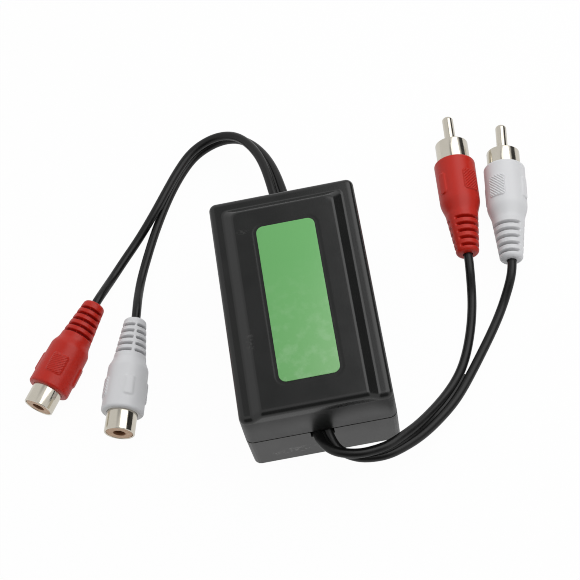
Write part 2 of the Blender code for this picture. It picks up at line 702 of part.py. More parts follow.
def jack_boot(reach):
    seat = barrel_rear(reach) - CLEARANCE
    wide, narrow = BARREL_RADIUS + CLEARANCE, LEAD_DIAMETER / 2 + CLEARANCE
    return {
        "length": JACK_BOOT_LENGTH, "rear_radius": JACK_BOOT_REAR_RADIUS, "neck_radius": JACK_BOOT_NECK_RADIUS,
        "neck_end": JACK_BOOT_NECK_END, "shoulder_end": JACK_BOOT_SHOULDER_END,
        "body_radius": JACK_BOOT_BODY_RADIUS, "mouth_radius": JACK_BOOT_MOUTH_RADIUS,
        "first_groove": JACK_FIRST_GROOVE, "groove_pitch": JACK_GROOVE_PITCH,
        "pad_start": JACK_PAD_START, "pad_length": JACK_PAD_LENGTH,
        "web_angles": (90, 270), "web_half_width": 8, "pads": (((0, 180), 26), ((90, 270), 19)),
        "bore": ((JACK_BOOT_LENGTH, wide), (seat, wide), (seat, narrow), (0, narrow)),
    }


def build_plug(name, finish):
    """A phono plug: boot, ferrule, insulator and pin on one axis."""
    holder = add_holder(name)
    reach = CONNECTORS[name]["reach"]
    build_boot(name + "_boot", plug_boot(reach), finish, holder)
    seat = ferrule_rear(reach)
    front = PLUG_BOOT_LENGTH + reach
    shank_inside = SHANK_RADIUS - FERRULE_WALL
    rear = seat - SHANK_LENGTH
    ferrule = turned(name + "_ferrule", [
        (FERRULE_RADIUS - FERRULE_WALL, front), (FERRULE_RADIUS, front), (FERRULE_RADIUS, seat),
        (SHANK_RADIUS, seat), (SHANK_RADIUS, rear), (shank_inside, rear),
        (shank_inside, seat + FERRULE_WALL), (FERRULE_RADIUS - FERRULE_WALL, seat + FERRULE_WALL),
    ], NICKEL, closed=True)
    ferrule.parent = holder
    seam_bottom = seat + 2 * FERRULE_WALL
    seam = box((-2 * FERRULE_RADIUS, -FERRULE_SEAM / 2, seam_bottom), (0, FERRULE_SEAM / 2, 2 * front))
    combine(ferrule, seam, "DIFFERENCE")

    body = shank_inside - CLEARANCE
    collar_rear = seat + FERRULE_WALL + CLEARANCE
    bore = PIN_RADIUS + CLEARANCE
    collar_radius = FERRULE_RADIUS - FERRULE_WALL - CLEARANCE
    insulator = turned(name + "_insulator", [
        (bore, collar_rear + PLUG_INSULATOR_COLLAR), (collar_radius, collar_rear + PLUG_INSULATOR_COLLAR),
        (collar_radius, collar_rear), (body, collar_rear), (body, rear), (bore, rear),
    ], TAN_PHENOLIC, closed=True)
    insulator.parent = holder

    tip = front + PIN_PROTRUSION
    dome = [(PIN_RADIUS * math.sin(math.radians(angle)), tip - PIN_RADIUS * (1 - math.cos(math.radians(angle))))
            for angle in (0, 30, 60, 90)]
    pin = turned(name + "_pin", dome + [(PIN_RADIUS, rear), (0, rear)], NICKEL, steps=ROUND_STEPS // 2)
    pin.parent = holder


def build_jack(name, finish):
    """A phono jack: boot, barrel, insulator and contact on one axis."""
    holder = add_holder(name)
    reach = CONNECTORS[name]["reach"]
    build_boot(name + "_boot", jack_boot(reach), finish, holder)
    rear = barrel_rear(reach)
    front = JACK_BOOT_LENGTH + reach
    inside = BARREL_RADIUS - BARREL_WALL
    barrel = turned(name + "_barrel", [(inside, front), (BARREL_RADIUS, front), (BARREL_RADIUS, rear),
                                       (inside, rear)], NICKEL, closed=True)
    barrel.parent = holder

    contact_radius = JACK_HOLE_RADIUS + CONTACT_WALL
    bore = contact_radius + CLEARANCE
    body = inside - CLEARANCE
    lip_rear = front - JACK_LIP
    insulator = turned(name + "_insulator", [(JACK_HOLE_RADIUS, front), (body, front), (body, rear), (bore, rear),
                                             (bore, lip_rear), (JACK_HOLE_RADIUS, lip_rear)],
                       TAN_PHENOLIC, closed=True)
    insulator.parent = holder

    contact_front = lip_rear - CLEARANCE
    contact_rear = contact_front - CONTACT_LENGTH
    socket_floor = contact_front - SOCKET_DEPTH
    contact = turned(name + "_contact", [(0, socket_floor), (JACK_HOLE_RADIUS, socket_floor),
                                         (JACK_HOLE_RADIUS, contact_front), (contact_radius, contact_front),
                                         (contact_radius, contact_rear), (0, contact_rear)],
                     NICKEL, steps=ROUND_STEPS // 2)
    contact.parent = holder


def spline_slopes(knots, values):
    """Slopes of the natural cubic spline through the values at the knots."""
    count = len(knots)
    spans = numpy.diff(knots)
    rises = numpy.diff(values, axis=0) / spans[:, None]
    system = numpy.zeros((count, count))
    target = numpy.zeros(values.shape)
    system[0, :2] = (2, 1)
    target[0] = 3 * rises[0]
    system[-1, -2:] = (1, 2)
    target[-1] = 3 * rises[-1]
    for row in range(1, count - 1):
        before, after = spans[row - 1], spans[row]
        system[row, row - 1:row + 2] = (after, 2 * (before + after), before)
        target[row] = 3 * (after * rises[row - 1] + before * rises[row])
    return numpy.linalg.solve(system, target)


def smooth_points(points, parts):
    """Points along the smooth curve through the given ones, with each span in a number of parts."""
    values = numpy.array(points, dtype=float)
    knots = numpy.concatenate(([0], numpy.cumsum(numpy.linalg.norm(numpy.diff(values[:, :3], axis=0), axis=1))))
    slopes = spline_slopes(knots, values)
    path = []
    for row in range(len(values) - 1):
        span = knots[row + 1] - knots[row]
        for step in range(parts):
            share = step / parts
            path.append((1 + 2 * share) * (1 - share) ** 2 * values[row]
                        + share * (1 - share) ** 2 * span * slopes[row]
                        + share ** 2 * (3 - 2 * share) * values[row + 1]
                        - share ** 2 * (1 - share) * span * slopes[row + 1])
    path.append(values[-1])
    return numpy.array(path)


def pair_side(pair_route, side):
    """The centre line of one lead of a twisted pair, on the side 1 (red) or -1 (white)."""
    route = numpy.array(pair_route)
    tangents = numpy.gradient(route[:, :3], axis=0)
    line = []
    for place, tangent in zip(route, tangents):
        forward = Vector(tangent).normalized()
        left = Vector((0, 0, 1)).cross(forward).normalized()
        lift = forward.cross(left)
        twist = math.radians(place[3])
        offset = side * LEAD_PITCH / 2 * (math.cos(twist) * left + math.sin(twist) * lift)
        line.append(Vector(place[:3]) + offset)
    return line


def build_lead(name, pair_route, side, connector, bore_depth):
    """One lead, from the board inside the case to the end of the bore in its boot."""
    frame = connector_frame(connector)
    entries = (-LEAD_DIAMETER / 2, LEAD_DIAMETER, bore_depth / 2, bore_depth)
    ends = [frame @ Vector((0, 0, along)) for along in entries]
    route = pair_side(pair_route, side) + [Vector(point) for point in SINGLE_ROUTES[name]] + ends
    curve = bpy.data.curves.new(name, "CURVE")
    curve.dimensions = "3D"
    curve.bevel_depth = LEAD_DIAMETER / 2
    curve.bevel_resolution = LEAD_SIDES // 2 - 2
    curve.use_fill_caps = True
    curve.render_resolution_u = 0
    path = smooth_points(route, 2)
    spline = curve.splines.new("POLY")
    spline.points.add(len(path) - 1)
    for point, place in zip(spline.points, path):
        point.co = (*place, 1.0)
    lead = bpy.data.objects.new(name, curve)
    curve.materials.append(new_material(name, *BLACK_PVC))
    PARTS.objects.link(lead)


def plug_bore(name):
    """How far a lead goes into a plug: nearly to the end of the boot's narrow bore."""
    return ferrule_rear(CONNECTORS[name]["reach"]) - SHANK_LENGTH - 4 * CLEARANCE


def jack_bore(name):
    """How far a lead goes into a jack: nearly to the barrel or its contact, whichever comes first."""
    reach = CONNECTORS[name]["reach"]
    contact_rear = JACK_BOOT_LENGTH + reach - JACK_LIP - CONTACT_LENGTH
    return min(barrel_rear(reach), contact_rear) - 2 * CLEARANCE


def build_leads():
    for colour, side in (("red", 1), ("white", -1)):
        jack = "input_" + colour + "_jack"
        plug = "output_" + colour + "_plug"
        build_lead("input_" + colour + "_lead", INPUT_PAIR_ROUTE, side, jack, jack_bore(jack))
        build_lead("output_" + colour + "_lead", OUTPUT_PAIR_ROUTE, side, plug, plug_bore(plug))


build_case_base()
build_case_lid()
build_label()
build_screws()
build_circuit_board()
build_transformers()
build_cable_tie("output_cable_tie", -1)
build_cable_tie("input_cable_tie", 1)
build_jack("input_red_jack", RED_PVC)
build_jack("input_white_jack", WHITE_PVC)
build_plug("output_red_plug", RED_PVC)
build_plug("output_white_plug", WHITE_PVC)
build_leads()
bpy.context.view_layer.update()
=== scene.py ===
"""Looks for the ground loop isolator: camera, cords, finer shapes, finishes, floor and lights.

Metres, +Z up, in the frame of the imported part: the origin is at the middle of the case's underside, and the
leads leave its two end walls along -Y (plugs) and +Y (jacks). Sizes and routes repeat those of the part.
"""

import json
import math

import bmesh
import bpy
import numpy
from mathutils import Matrix, Vector


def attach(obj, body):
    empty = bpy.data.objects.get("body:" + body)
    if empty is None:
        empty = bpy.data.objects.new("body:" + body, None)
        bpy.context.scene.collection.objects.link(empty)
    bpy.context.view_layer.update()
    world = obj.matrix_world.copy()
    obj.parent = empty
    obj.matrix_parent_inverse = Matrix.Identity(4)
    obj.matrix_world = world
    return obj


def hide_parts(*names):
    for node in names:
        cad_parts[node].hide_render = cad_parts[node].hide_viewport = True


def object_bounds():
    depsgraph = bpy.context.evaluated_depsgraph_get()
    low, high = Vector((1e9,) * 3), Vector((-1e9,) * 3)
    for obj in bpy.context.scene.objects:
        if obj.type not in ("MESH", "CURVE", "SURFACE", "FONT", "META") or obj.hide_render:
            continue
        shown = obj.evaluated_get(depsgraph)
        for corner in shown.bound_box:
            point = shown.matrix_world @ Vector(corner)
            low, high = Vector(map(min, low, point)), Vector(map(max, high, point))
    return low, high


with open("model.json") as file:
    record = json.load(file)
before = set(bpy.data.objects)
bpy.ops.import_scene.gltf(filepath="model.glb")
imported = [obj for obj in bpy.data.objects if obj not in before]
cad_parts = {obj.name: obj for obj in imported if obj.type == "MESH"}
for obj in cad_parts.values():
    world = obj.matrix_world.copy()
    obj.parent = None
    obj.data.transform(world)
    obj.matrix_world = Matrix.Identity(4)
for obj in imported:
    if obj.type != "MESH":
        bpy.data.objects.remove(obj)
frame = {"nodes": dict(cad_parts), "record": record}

CAD_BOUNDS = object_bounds()

# Camera, worked out from the photograph: the view is square, and the angles are in degrees
CAMERA_PLACE = (0.01633, -0.19946, 0.40226)
CAMERA_ELEVATION = 61.508
CAMERA_AZIMUTH = 5.088
CAMERA_ROLL = -15.233
CAMERA_LENS = 98.577
CAMERA_CLIP_START = 0.01
SENSOR_WIDTH = 36.0

# Case
CLEARANCE = 0.0003
CASE_LENGTH = 0.067
CASE_WIDTH = 0.0405
RIM_HEIGHT = 0.02955
PARTING_HEIGHT = 0.0157
DRAFT = 0.011
WALL = 0.002
CORNER_RADIUS = 0.002
TOP_FILLET = 0.0017
PLATEAU_RISE = 0.00215
PLATEAU_HALF_WIDTH = 0.01405   # of its flat top
PLATEAU_END = 0.0277
PLATEAU_SIDE_SLOPE = 0.00265
PLATEAU_END_SLOPE = 0.0023
PLATEAU_CORNER = 0.0017
PLATEAU_BLEND = 0.16           # share of the slope's width over which its edges are rounded
LABEL_LENGTH = 0.047
LABEL_WIDTH = 0.0161
LABEL_THICKNESS = 0.0002
LABEL_CORNER = 0.002
LABEL_FORWARD = 0.0018
LABEL_EDGE_ROUNDING = 0.00006
RECESS_MARGIN = 0.0013
RECESS_DEPTH = 0.00004
RECESS_RAMP = 0.0006
LID_EDGE_ROUNDING = 0.0002     # at the parting line
LID_FILLET_STEPS = 10
LID_ARC_STEPS = 8
LID_INSIDE_REACH = 0.0001      # how far the lid's inside stands out from its inner rectangle

# Spacing of the grid lines of the lid's top
GRID_LABEL = 0.0012
GRID_RECESS = 0.0002           # at the edge of the label's recess
GRID_FLAT = 0.0008
GRID_SLOPE = 0.0001
GRID_SLOPE_MARGIN = 0.0006     # how far beyond the plateau's slopes their spacing goes on
GRID_RIM = 0.0004
ROUNDING_ERROR = 1e-9

# Leads
LEAD_DIAMETER = 0.0026
LEAD_PITCH = 0.0029
LEAD_EXIT = (0.00145, 0.03365, 0.0142)
WEB_HALF_WIDTH = 0.00035
WEB_HALF_THICKNESS = 0.0005
LEAD_PARTS = 8                 # short straight pieces in each span of a lead's route
LEAD_BEVEL_STEPS = 6

# Boots, with angles in degrees round the axis. A pad is given by its middle and half its width
GROOVE_HALF_WIDTH = 0.00036
GROOVE_DEPTH = 0.00125
GROOVE_SQUARENESS = 4          # 2 is a bell-shaped section, and more is squarer
GROOVE_COUNT = 5
GROOVE_END_ANGLE = 10          # over which a groove runs out beside a web
FAINT_WEB_ANGLE = 6
FAINT_WEB_LEVEL = 0.45         # how much of a groove's depth a faint web fills
PAD_RISE = 0.00036
PAD_CORNER = 0.0011
RIDGE_PITCH = 0.00064
RIDGE_SHADE = 0.22             # how much painted shade a valley between ridges gets, with a groove as 1
RIDGE_INSET = 0.0002           # from a pad's outline to where its ridges start
RIDGE_MARGIN = 0.0003          # over which they reach their full depth
BOOT_REAR_FILLET = 0.001
BOOT_MOUTH_FILLET = 0.0007
BOOT_FILLET_STEPS = 5
BORE_STEP = 0.002              # depth of the wide part of the bore that is modelled
FINE_RING = 0.00011            # spacing of a boot's rings where it has grooves or pads, and elsewhere
COARSE_RING = 0.0004
FINE_ANGLE = 1.25              # and of the points of a ring on the ridged pads, and elsewhere
COARSE_ANGLE = 2.5
FINE_ANGLE_MARGIN = 2

PLUG_BOOT = {
    "length": 0.0303, "rear_radius": 0.0032, "neck_radius": 0.0046, "neck_end": 0.0122,
    "shoulder_end": 0.0173, "body_radius": 0.00575, "mouth_radius": 0.00595, "first_groove": 0.0018,
    "groove_pitch": 0.00215, "pad_start": 0.0184, "pad_length": 0.007, "pad_ramp": 0.0003,
    "web_angles": (90, 270), "web_half_width": 18, "faint_web_angles": (),
    "ridged_pads": ((0, 25), (180, 25)), "smooth_pads": ((90, 14), (270, 14)), "ridge_depth": 0.00024,
}
JACK_BOOT = {
    "length": 0.0288, "rear_radius": 0.0031, "neck_radius": 0.0046, "neck_end": 0.0125,
    "shoulder_end": 0.016, "body_radius": 0.0057, "mouth_radius": 0.00597, "first_groove": 0.0027,
    "groove_pitch": 0.00205, "pad_start": 0.0189, "pad_length": 0.0065, "pad_ramp": 0.0008,
    "web_angles": (90, 270), "web_half_width": 8, "faint_web_angles": (0, 180),
    "ridged_pads": ((0, 26), (180, 26)), "smooth_pads": ((90, 17), (270, 17)), "ridge_depth": 0.00014,
}

# Plug: ferrule, insulator and pin
FERRULE_RADIUS = 0.00475
FERRULE_WALL = 0.0006
FERRULE_LENGTH = 0.0082
FERRULE_SEAM = 0.0004
SHANK_RADIUS = 0.0034
SHANK_LENGTH = 0.006
PLUG_INSULATOR_COLLAR = 0.001
PIN_RADIUS = 0.0016
PIN_PROTRUSION = 0.0097

# Jack: barrel, insulator and contact
BARREL_RADIUS = 0.00427
BARREL_WALL = 0.0005
BARREL_LENGTH = 0.0163
JACK_HOLE_RADIUS = 0.00168
JACK_LIP = 0.0015
CONTACT_WALL = 0.0004
CONTACT_LENGTH = 0.012
SOCKET_DEPTH = 0.009

# Turned pieces
TURNED_STEPS = 96              # points of a ring
THIN_TURNED_STEPS = 48
TURNED_CORNER_STEPS = 3
AXIS_RADIUS = 1e-7             # a smaller radius is on the axis
FERRULE_ROUNDING = 0.00022
BARREL_ROUNDING = 0.0002
INSULATOR_ROUNDING = 0.00012
PIN_TIP_LENGTH = 0.75          # of its dome, as a share of the pin's radius
PIN_TIP_STEP = 9               # degrees

# Where each connector lies: its boot's rear end, its heading, its roll about its own axis, and how far its
# ferrule or barrel stands out of the boot
CONNECTORS = {
    "input_red_jack": {"rear": (-0.0587, 0.0218, 0.0062), "heading": -123.2, "roll": -11, "reach": 0.0057},
    "input_white_jack": {"rear": (-0.0476, 0.0143, 0.0062), "heading": -103.3, "roll": 67, "reach": 0.0059},
    "output_red_plug": {"rear": (0.0486, 0.0152, 0.0061), "heading": 86.3, "roll": 42, "reach": 0.0067},
    "output_white_plug": {"rear": (0.0601, 0.0106, 0.0063), "heading": 82.1, "roll": -27, "reach": 0.0052},
}

# Routes of the twin leads from inside the case to where they split: x, y, z and the twist in degrees
INPUT_PAIR_ROUTE = [
    (0.0, 0.0210, 0.0115, 0),
    (0.0, 0.0245, 0.0131, 0),
    (0.0, 0.0290, 0.0142, 0),
    (0.0, 0.0340, 0.0142, 0),
    (-0.0008, 0.0400, 0.0141, 10),
    (-0.0018, 0.0473, 0.0134, 26),
    (-0.0035, 0.0555, 0.0116, 44),
    (-0.0071, 0.0637, 0.0092, 60),
    (-0.0113, 0.0684, 0.0072, 73),
    (-0.0162, 0.0702, 0.0055, 85),
    (-0.0209, 0.0697, 0.0043, 92),
    (-0.0252, 0.0676, 0.0035, 94),
    (-0.0288, 0.0641, 0.0030, 95),
    (-0.0332, 0.0579, 0.0028, 98),
    (-0.0371, 0.0515, 0.0026, 112),
]
OUTPUT_PAIR_ROUTE = [
    (0.0, -0.0210, 0.0115, 180),
    (0.0, -0.0245, 0.0131, 180),
    (0.0, -0.0290, 0.0142, 180),
    (0.0001, -0.0335, 0.0142, 176),
    (0.0010, -0.0366, 0.0141, 150),
    (0.0029, -0.0391, 0.0139, 125),
    (0.0055, -0.0406, 0.0136, 106),
    (0.0087, -0.0415, 0.0132, 90),
    (0.0122, -0.0415, 0.0125, 76),
    (0.0160, -0.0409, 0.0119, 64),
    (0.0199, -0.0391, 0.0106, 52),
    (0.0247, -0.0359, 0.0082, 37),
    (0.0301, -0.0312, 0.0054, 20),
    (0.0356, -0.0256, 0.0031, 7),
    (0.0406, -0.0192, 0.0019, 0),
]

# Routes of the single leads from there to their boots, and the length of each lead from end to end
SINGLE_ROUTES = {
    "input_red_lead": [(-0.0457, 0.0422, 0.0015), (-0.0500, 0.0369, 0.0014), (-0.0530, 0.0327, 0.0018),
                       (-0.0551, 0.0288, 0.0034), (-0.0566, 0.0255, 0.0052)],
    "input_white_lead": [(-0.0400, 0.0438, 0.0014), (-0.0429, 0.0366, 0.0014), (-0.0453, 0.0295, 0.0018),
                         (-0.0462, 0.0244, 0.0035), (-0.0467, 0.0197, 0.0055)],
    "output_red_lead": [(0.0441, -0.0083, 0.0014), (0.0461, -0.0017, 0.0014), (0.0473, 0.0039, 0.0020),
                        (0.0478, 0.0073, 0.0036), (0.0482, 0.0106, 0.0054)],
    "output_white_lead": [(0.0469, -0.0129, 0.0014), (0.0511, -0.0069, 0.0014), (0.0548, -0.0011, 0.0019),
                          (0.0571, 0.0027, 0.0036), (0.0588, 0.0059, 0.0054)],
}
LEAD_LENGTHS = {
    "input_red_lead": 0.1416, "input_white_lead": 0.1455,
    "output_red_lead": 0.1270, "output_white_lead": 0.1246,
}

CLOUD_LOW = 0.3                # the usual range of a cloud of noise
CLOUD_HIGH = 0.7

# Colours as red, green and blue: two are the ends between which a finish varies, and the third of the
# boots' colours is painted shade, darkening their grooves and the valleys between their ridges
LID_COLOURS = ((0.0105, 0.0110, 0.0108), (0.0135, 0.0140, 0.0136))
# painted reflection: the base is paler, for the bright floor that it reflects
BASE_REFLECTION_COLOUR = (0.040, 0.040, 0.039)
SCUFF_COLOUR = (0.16, 0.16, 0.155)
LABEL_COLOURS = ((0.148, 0.455, 0.138), (0.235, 0.515, 0.205))
LABEL_PATCH_COLOUR = (0.34, 0.60, 0.32)
LEAD_COLOURS = ((0.005, 0.005, 0.005), (0.009, 0.009, 0.009))
RED_COLOURS = ((0.51, 0.013, 0.004), (0.56, 0.018, 0.006), (0.28, 0.005, 0.003))
WHITE_COLOURS = ((0.72, 0.725, 0.74), (0.78, 0.785, 0.80), (0.38, 0.38, 0.385))
NICKEL_COLOURS = ((0.70, 0.655, 0.56), (0.76, 0.715, 0.625))
INSULATOR_COLOURS = ((0.60, 0.39, 0.25), (0.72, 0.49, 0.32))
# painted shade inside the insulators' holes
HOLE_SHADE_COLOUR = (0.27, 0.12, 0.055)

# Finishes of the pieces inside the case and of the screws: two colours, roughness, grain and metalness
SIMPLE_FINISHES = {
    "board_laminate": ((0.02, 0.13, 0.05), (0.04, 0.19, 0.09), 0.4, 0.002, 0.0),
    "core_iron": ((0.20, 0.20, 0.22), (0.30, 0.30, 0.32), 0.45, 0.001, 1.0),
    "bobbin_nylon": ((0.70, 0.68, 0.60), (0.78, 0.76, 0.70), 0.5, 0.003, 0.0),
    "copper_wire": ((0.62, 0.25, 0.10), (0.78, 0.36, 0.16), 0.3, 0.0006, 1.0),
    "tie_nylon": ((0.76, 0.76, 0.74), (0.84, 0.84, 0.82), 0.5, 0.002, 0.0),
    "screw_steel": ((0.50, 0.50, 0.52), (0.62, 0.62, 0.63), 0.3, 0.001, 1.0),
}

# Where finishes change: how far below the rim the lid's wall starts to be dull and is fully dull, and the
# Y and X at which the label starts to turn paler and is palest
DULL_WALL_START = 0.0012
DULL_WALL_FULL = 0.0022
DULL_WALL_ROUGHNESS = 0.20     # added to the top's
LABEL_PALE_ALONG = (0.010, -0.026)
LABEL_PALE_ACROSS = (-0.010, 0.010)
HOLE_SHADE_EDGE = 0.00025

# Light scuffs on the case: where they are, how far they reach along X, Y and Z, and how strong they are
SCUFFS = (
    ((-0.0116, 0.0213, 0.0317), (0.0022, 0.0010, 0.0020), 0.7),
    ((-0.0143, -0.0120, 0.0317), (0.0015, 0.0040, 0.0020), 0.6),
    ((-0.0075, -0.0337, 0.0060), (0.0060, 0.0030, 0.0024), 4.0),
    ((-0.0135, -0.0337, 0.0055), (0.0015, 0.0030, 0.0020), 2.5),
)

# Floor and light
FLOOR_SIZE = 0.32
FLOOR_DROP = 0.00002           # below the object's lowest point, so that the two don't share a face
FLOOR_PAINT = (0.93, 0.93, 0.93, 1.0)
WHITE = (1.0, 1.0, 1.0, 1.0)
FLOOR_WHITE_SHARE = 0.97       # of the floor's look to the camera that is plain white, the rest being lit
FLOOR_IN_GLOSS = 0.78          # how bright the floor is in reflections
STUDIO_LEVEL = 0.70
SOFTBOX_PLACE = (0.149, 0.110, 0.286)
SOFTBOX_BACK = (0.614, 0.0, 0.789)
SOFTBOX_SIZE = (0.42, 0.32)
SOFTBOX_RADIANCE = 1.2
PIXEL_FILTER = 1.0             # pixels, narrow because the photograph is sharp

# Darker patches of the studio: their direction, their extent, the share of it that is even, and their level
DARK_PATCHES = (
    ((0.95, 0.28, 0.10), (1.0, 0.62, 0.40), 0.75, 0.06),
    ((-0.05, 0.46, 0.88), (0.28, 0.32, 0.32), 0.4, 0.45),
    ((0.0, -0.85, 0.55), (0.9, 0.65, 0.75), 0.5, 0.10),
)


# Camera

def make_camera():
    """A camera where the photograph was taken from, turned and rolled as it was."""
    turn = Matrix.Rotation(math.radians(CAMERA_AZIMUTH), 4, "Z")
    tilt = Matrix.Rotation(math.radians(90 - CAMERA_ELEVATION), 4, "X")
    roll = Matrix.Rotation(math.radians(CAMERA_ROLL), 4, "Z")
    camera = bpy.data.objects.new("camera", bpy.data.cameras.new("camera"))
    camera.data.sensor_width = SENSOR_WIDTH
    camera.data.lens = CAMERA_LENS
    camera.data.clip_start = CAMERA_CLIP_START
    camera.matrix_world = Matrix.Translation(CAMERA_PLACE) @ turn @ tilt @ roll
    bpy.context.scene.collection.objects.link(camera)
    bpy.context.scene.camera = camera


# Shader helpers

def new_material(name):
    """A material, its node tree, its shader and the point in the object's own frame that is shaded."""
    material = bpy.data.materials.new(name)
    material.use_nodes = True
    tree = material.node_tree
    point = add_node(tree, "ShaderNodeTexCoord", {}).outputs["Object"]
    return material, tree, tree.nodes["Principled BSDF"], point


def set_inputs(tree, node, inputs):
    """Give a shader node's inputs values, or link sockets to them."""
    for key, value in inputs.items():
        if isinstance(value, bpy.types.NodeSocket):
            tree.links.new(value, node.inputs[key])
        else:
            node.inputs[key].default_value = value


def add_node(tree, kind, inputs, **settings):
    node = tree.nodes.new(kind)
    for key, value in settings.items():
        setattr(node, key, value)
    set_inputs(tree, node, inputs)
    return node


def stretched(tree, point, scale):
    return add_node(tree, "ShaderNodeMapping", {"Vector": point, "Scale": scale}).outputs["Vector"]


def noise(tree, point, grain, detail=3.0, roughness=0.5):
    """Noise whose grains are about the given size in metres."""
    inputs = {"Vector": point, "Scale": 1 / grain, "Detail": detail, "Roughness": roughness}
    return add_node(tree, "ShaderNodeTexNoise", inputs).outputs["Fac"]


def spread(tree, value, low, high, out_low=0.0, out_high=1.0):
    """Map a value's range to another, held at its ends."""
    inputs = {"Value": value, "From Min": low, "From Max": high, "To Min": out_low, "To Max": out_high}
    return add_node(tree, "ShaderNodeMapRange", inputs).outputs["Result"]


def varied(tree, cloud, low, high):
    """A value that goes from low to high with a cloud of noise."""
    return spread(tree, cloud, CLOUD_LOW, CLOUD_HIGH, low, high)


def arithmetic(tree, operation, first, second):
    return add_node(tree, "ShaderNodeMath", {0: first, 1: second}, operation=operation).outputs[0]


def mix_colours(tree, factor, first, second):
    """Mix two colours, each given as red, green and blue or as a socket."""
    first, second = [colour if isinstance(colour, bpy.types.NodeSocket) else (*colour, 1.0)
                     for colour in (first, second)]
    # The node has sockets for other kinds of value too, and these are the ones for colours
    return add_node(tree, "ShaderNodeMix", {0: factor, 6: first, 7: second}, data_type="RGBA").outputs[2]


def bump(tree, height, distance):
    return add_node(tree, "ShaderNodeBump", {"Height": height, "Distance": distance}).outputs["Normal"]


def spot(tree, point, centre, size, core=0.0):
    """A mask that is 1 in a core round a place and falls to 0 at the given distances along X, Y and Z."""
    moved = add_node(tree, "ShaderNodeVectorMath", {0: point, 1: centre}, operation="SUBTRACT").outputs[0]
    scaled = stretched(tree, moved, [1 / extent for extent in size])
    length = add_node(tree, "ShaderNodeVectorMath", {0: scaled}, operation="LENGTH").outputs["Value"]
    return spread(tree, length, core, 1.0, 1.0, 0.0)


# Finishes

def scuff_mask(tree, point):
    """How scuffed the case is at a place: fine rubbing inside a few spots."""
    rubbing = spread(tree, noise(tree, point, grain=0.0009, detail=5.0, roughness=0.7), 0.50, 0.72)
    marks = 0.0
    for centre, size, strength in SCUFFS:
        mark = arithmetic(tree, "MULTIPLY", spot(tree, point, centre, size), rubbing)
        marks = arithmetic(tree, "MAXIMUM", marks, arithmetic(tree, "MULTIPLY", mark, strength))
    return marks


def case_plastic():
    """Moulded black plastic: a glossy top, duller walls, a base painted paler for the bright floor it
    reflects, a fine grain and a few scuffs.
    """
    material, tree, shader, point = new_material("case_plastic")
    height = add_node(tree, "ShaderNodeSeparateXYZ", {0: point}).outputs["Z"]
    wall_share = spread(tree, height, RIM_HEIGHT - DULL_WALL_FULL, RIM_HEIGHT - DULL_WALL_START, 1.0, 0.0)
    base_share = spread(tree, height, PARTING_HEIGHT, PARTING_HEIGHT + CLEARANCE, 1.0, 0.0)
    lid_wall_share = arithmetic(tree, "SUBTRACT", wall_share, base_share)
    cloud = noise(tree, point, grain=0.008, detail=4.0)
    lid_colour = mix_colours(tree, cloud, *LID_COLOURS)
    # The base's paler colour is a painted reflection of the bright floor beside it
    colour = mix_colours(tree, base_share, lid_colour, BASE_REFLECTION_COLOUR)
    wall_roughness = arithmetic(tree, "MULTIPLY", wall_share, DULL_WALL_ROUGHNESS)
    grain = noise(tree, point, grain=0.00035)
    streaks = noise(tree, stretched(tree, point, (1, 1, 0.06)), grain=0.0006)
    relief = arithmetic(tree, "ADD", grain, arithmetic(tree, "MULTIPLY", streaks, 0.6))
    set_inputs(tree, shader, {
        "Base Color": mix_colours(tree, scuff_mask(tree, point), colour, SCUFF_COLOUR),
        "Roughness": arithmetic(tree, "ADD", varied(tree, cloud, 0.17, 0.22), wall_roughness),
        "Specular IOR Level": spread(tree, lid_wall_share, 0.0, 1.0, 0.5, 0.3),
        "Normal": bump(tree, relief, 0.000004),
    })
    return material


def label_vinyl():
    """Green vinyl, left bare: mottled, and a little paler towards the near right corner."""
    material, tree, shader, point = new_material("label_vinyl")
    axes = add_node(tree, "ShaderNodeSeparateXYZ", {0: point})
    # The label turns paler towards the near right corner
    along = spread(tree, axes.outputs["Y"], *LABEL_PALE_ALONG)
    across = spread(tree, axes.outputs["X"], *LABEL_PALE_ACROSS, 0.2, 1.0)
    pale_corner_share = arithmetic(tree, "MULTIPLY", along, across)
    cloud = noise(tree, point, grain=0.0035, detail=5.0, roughness=0.6)
    patches = arithmetic(tree, "MULTIPLY", spread(tree, cloud, 0.48, 0.66), along)
    faint_patches = arithmetic(tree, "MULTIPLY", patches, 0.5)
    plain = mix_colours(tree, pale_corner_share, *LABEL_COLOURS)
    set_inputs(tree, shader, {
        "Base Color": mix_colours(tree, faint_patches, plain, LABEL_PATCH_COLOUR),
        "Roughness": 0.42,
        "Normal": bump(tree, noise(tree, point, grain=0.0011), 0.00002),
    })
    return material


def lead_pvc():
    """Black flexible PVC, a little uneven."""
    material, tree, shader, point = new_material("lead_pvc")
    smear = noise(tree, point, grain=0.004, detail=4.0)
    set_inputs(tree, shader, {
        "Base Color": mix_colours(tree, smear, *LEAD_COLOURS),
        "Roughness": varied(tree, smear, 0.28, 0.36),
        "Specular IOR Level": 0.36,
        "Normal": bump(tree, noise(tree, point, grain=0.0007), 0.00001),
    })
    return material


def moulded_pvc(name, dark, light, hollow_shade_colour):
    """Moulded PVC of a boot: satin, with slight flow clouds, a fine skin and painted shade in its hollows."""
    material, tree, shader, point = new_material(name)
    flow = noise(tree, stretched(tree, point, (1, 1, 0.4)), grain=0.004)
    # Painted shade: darker in the grooves and between the ridges, by how deep they are
    hollow_shade = add_node(tree, "ShaderNodeAttribute", {}, attribute_name="hollow_shade").outputs["Fac"]
    set_inputs(tree, shader, {
        "Base Color": mix_colours(tree, hollow_shade, mix_colours(tree, flow, dark, light), hollow_shade_colour),
        "Roughness": varied(tree, flow, 0.36, 0.44),
        "Specular IOR Level": 0.4,
        "Normal": bump(tree, noise(tree, point, grain=0.00045), 0.000014),
    })
    return material


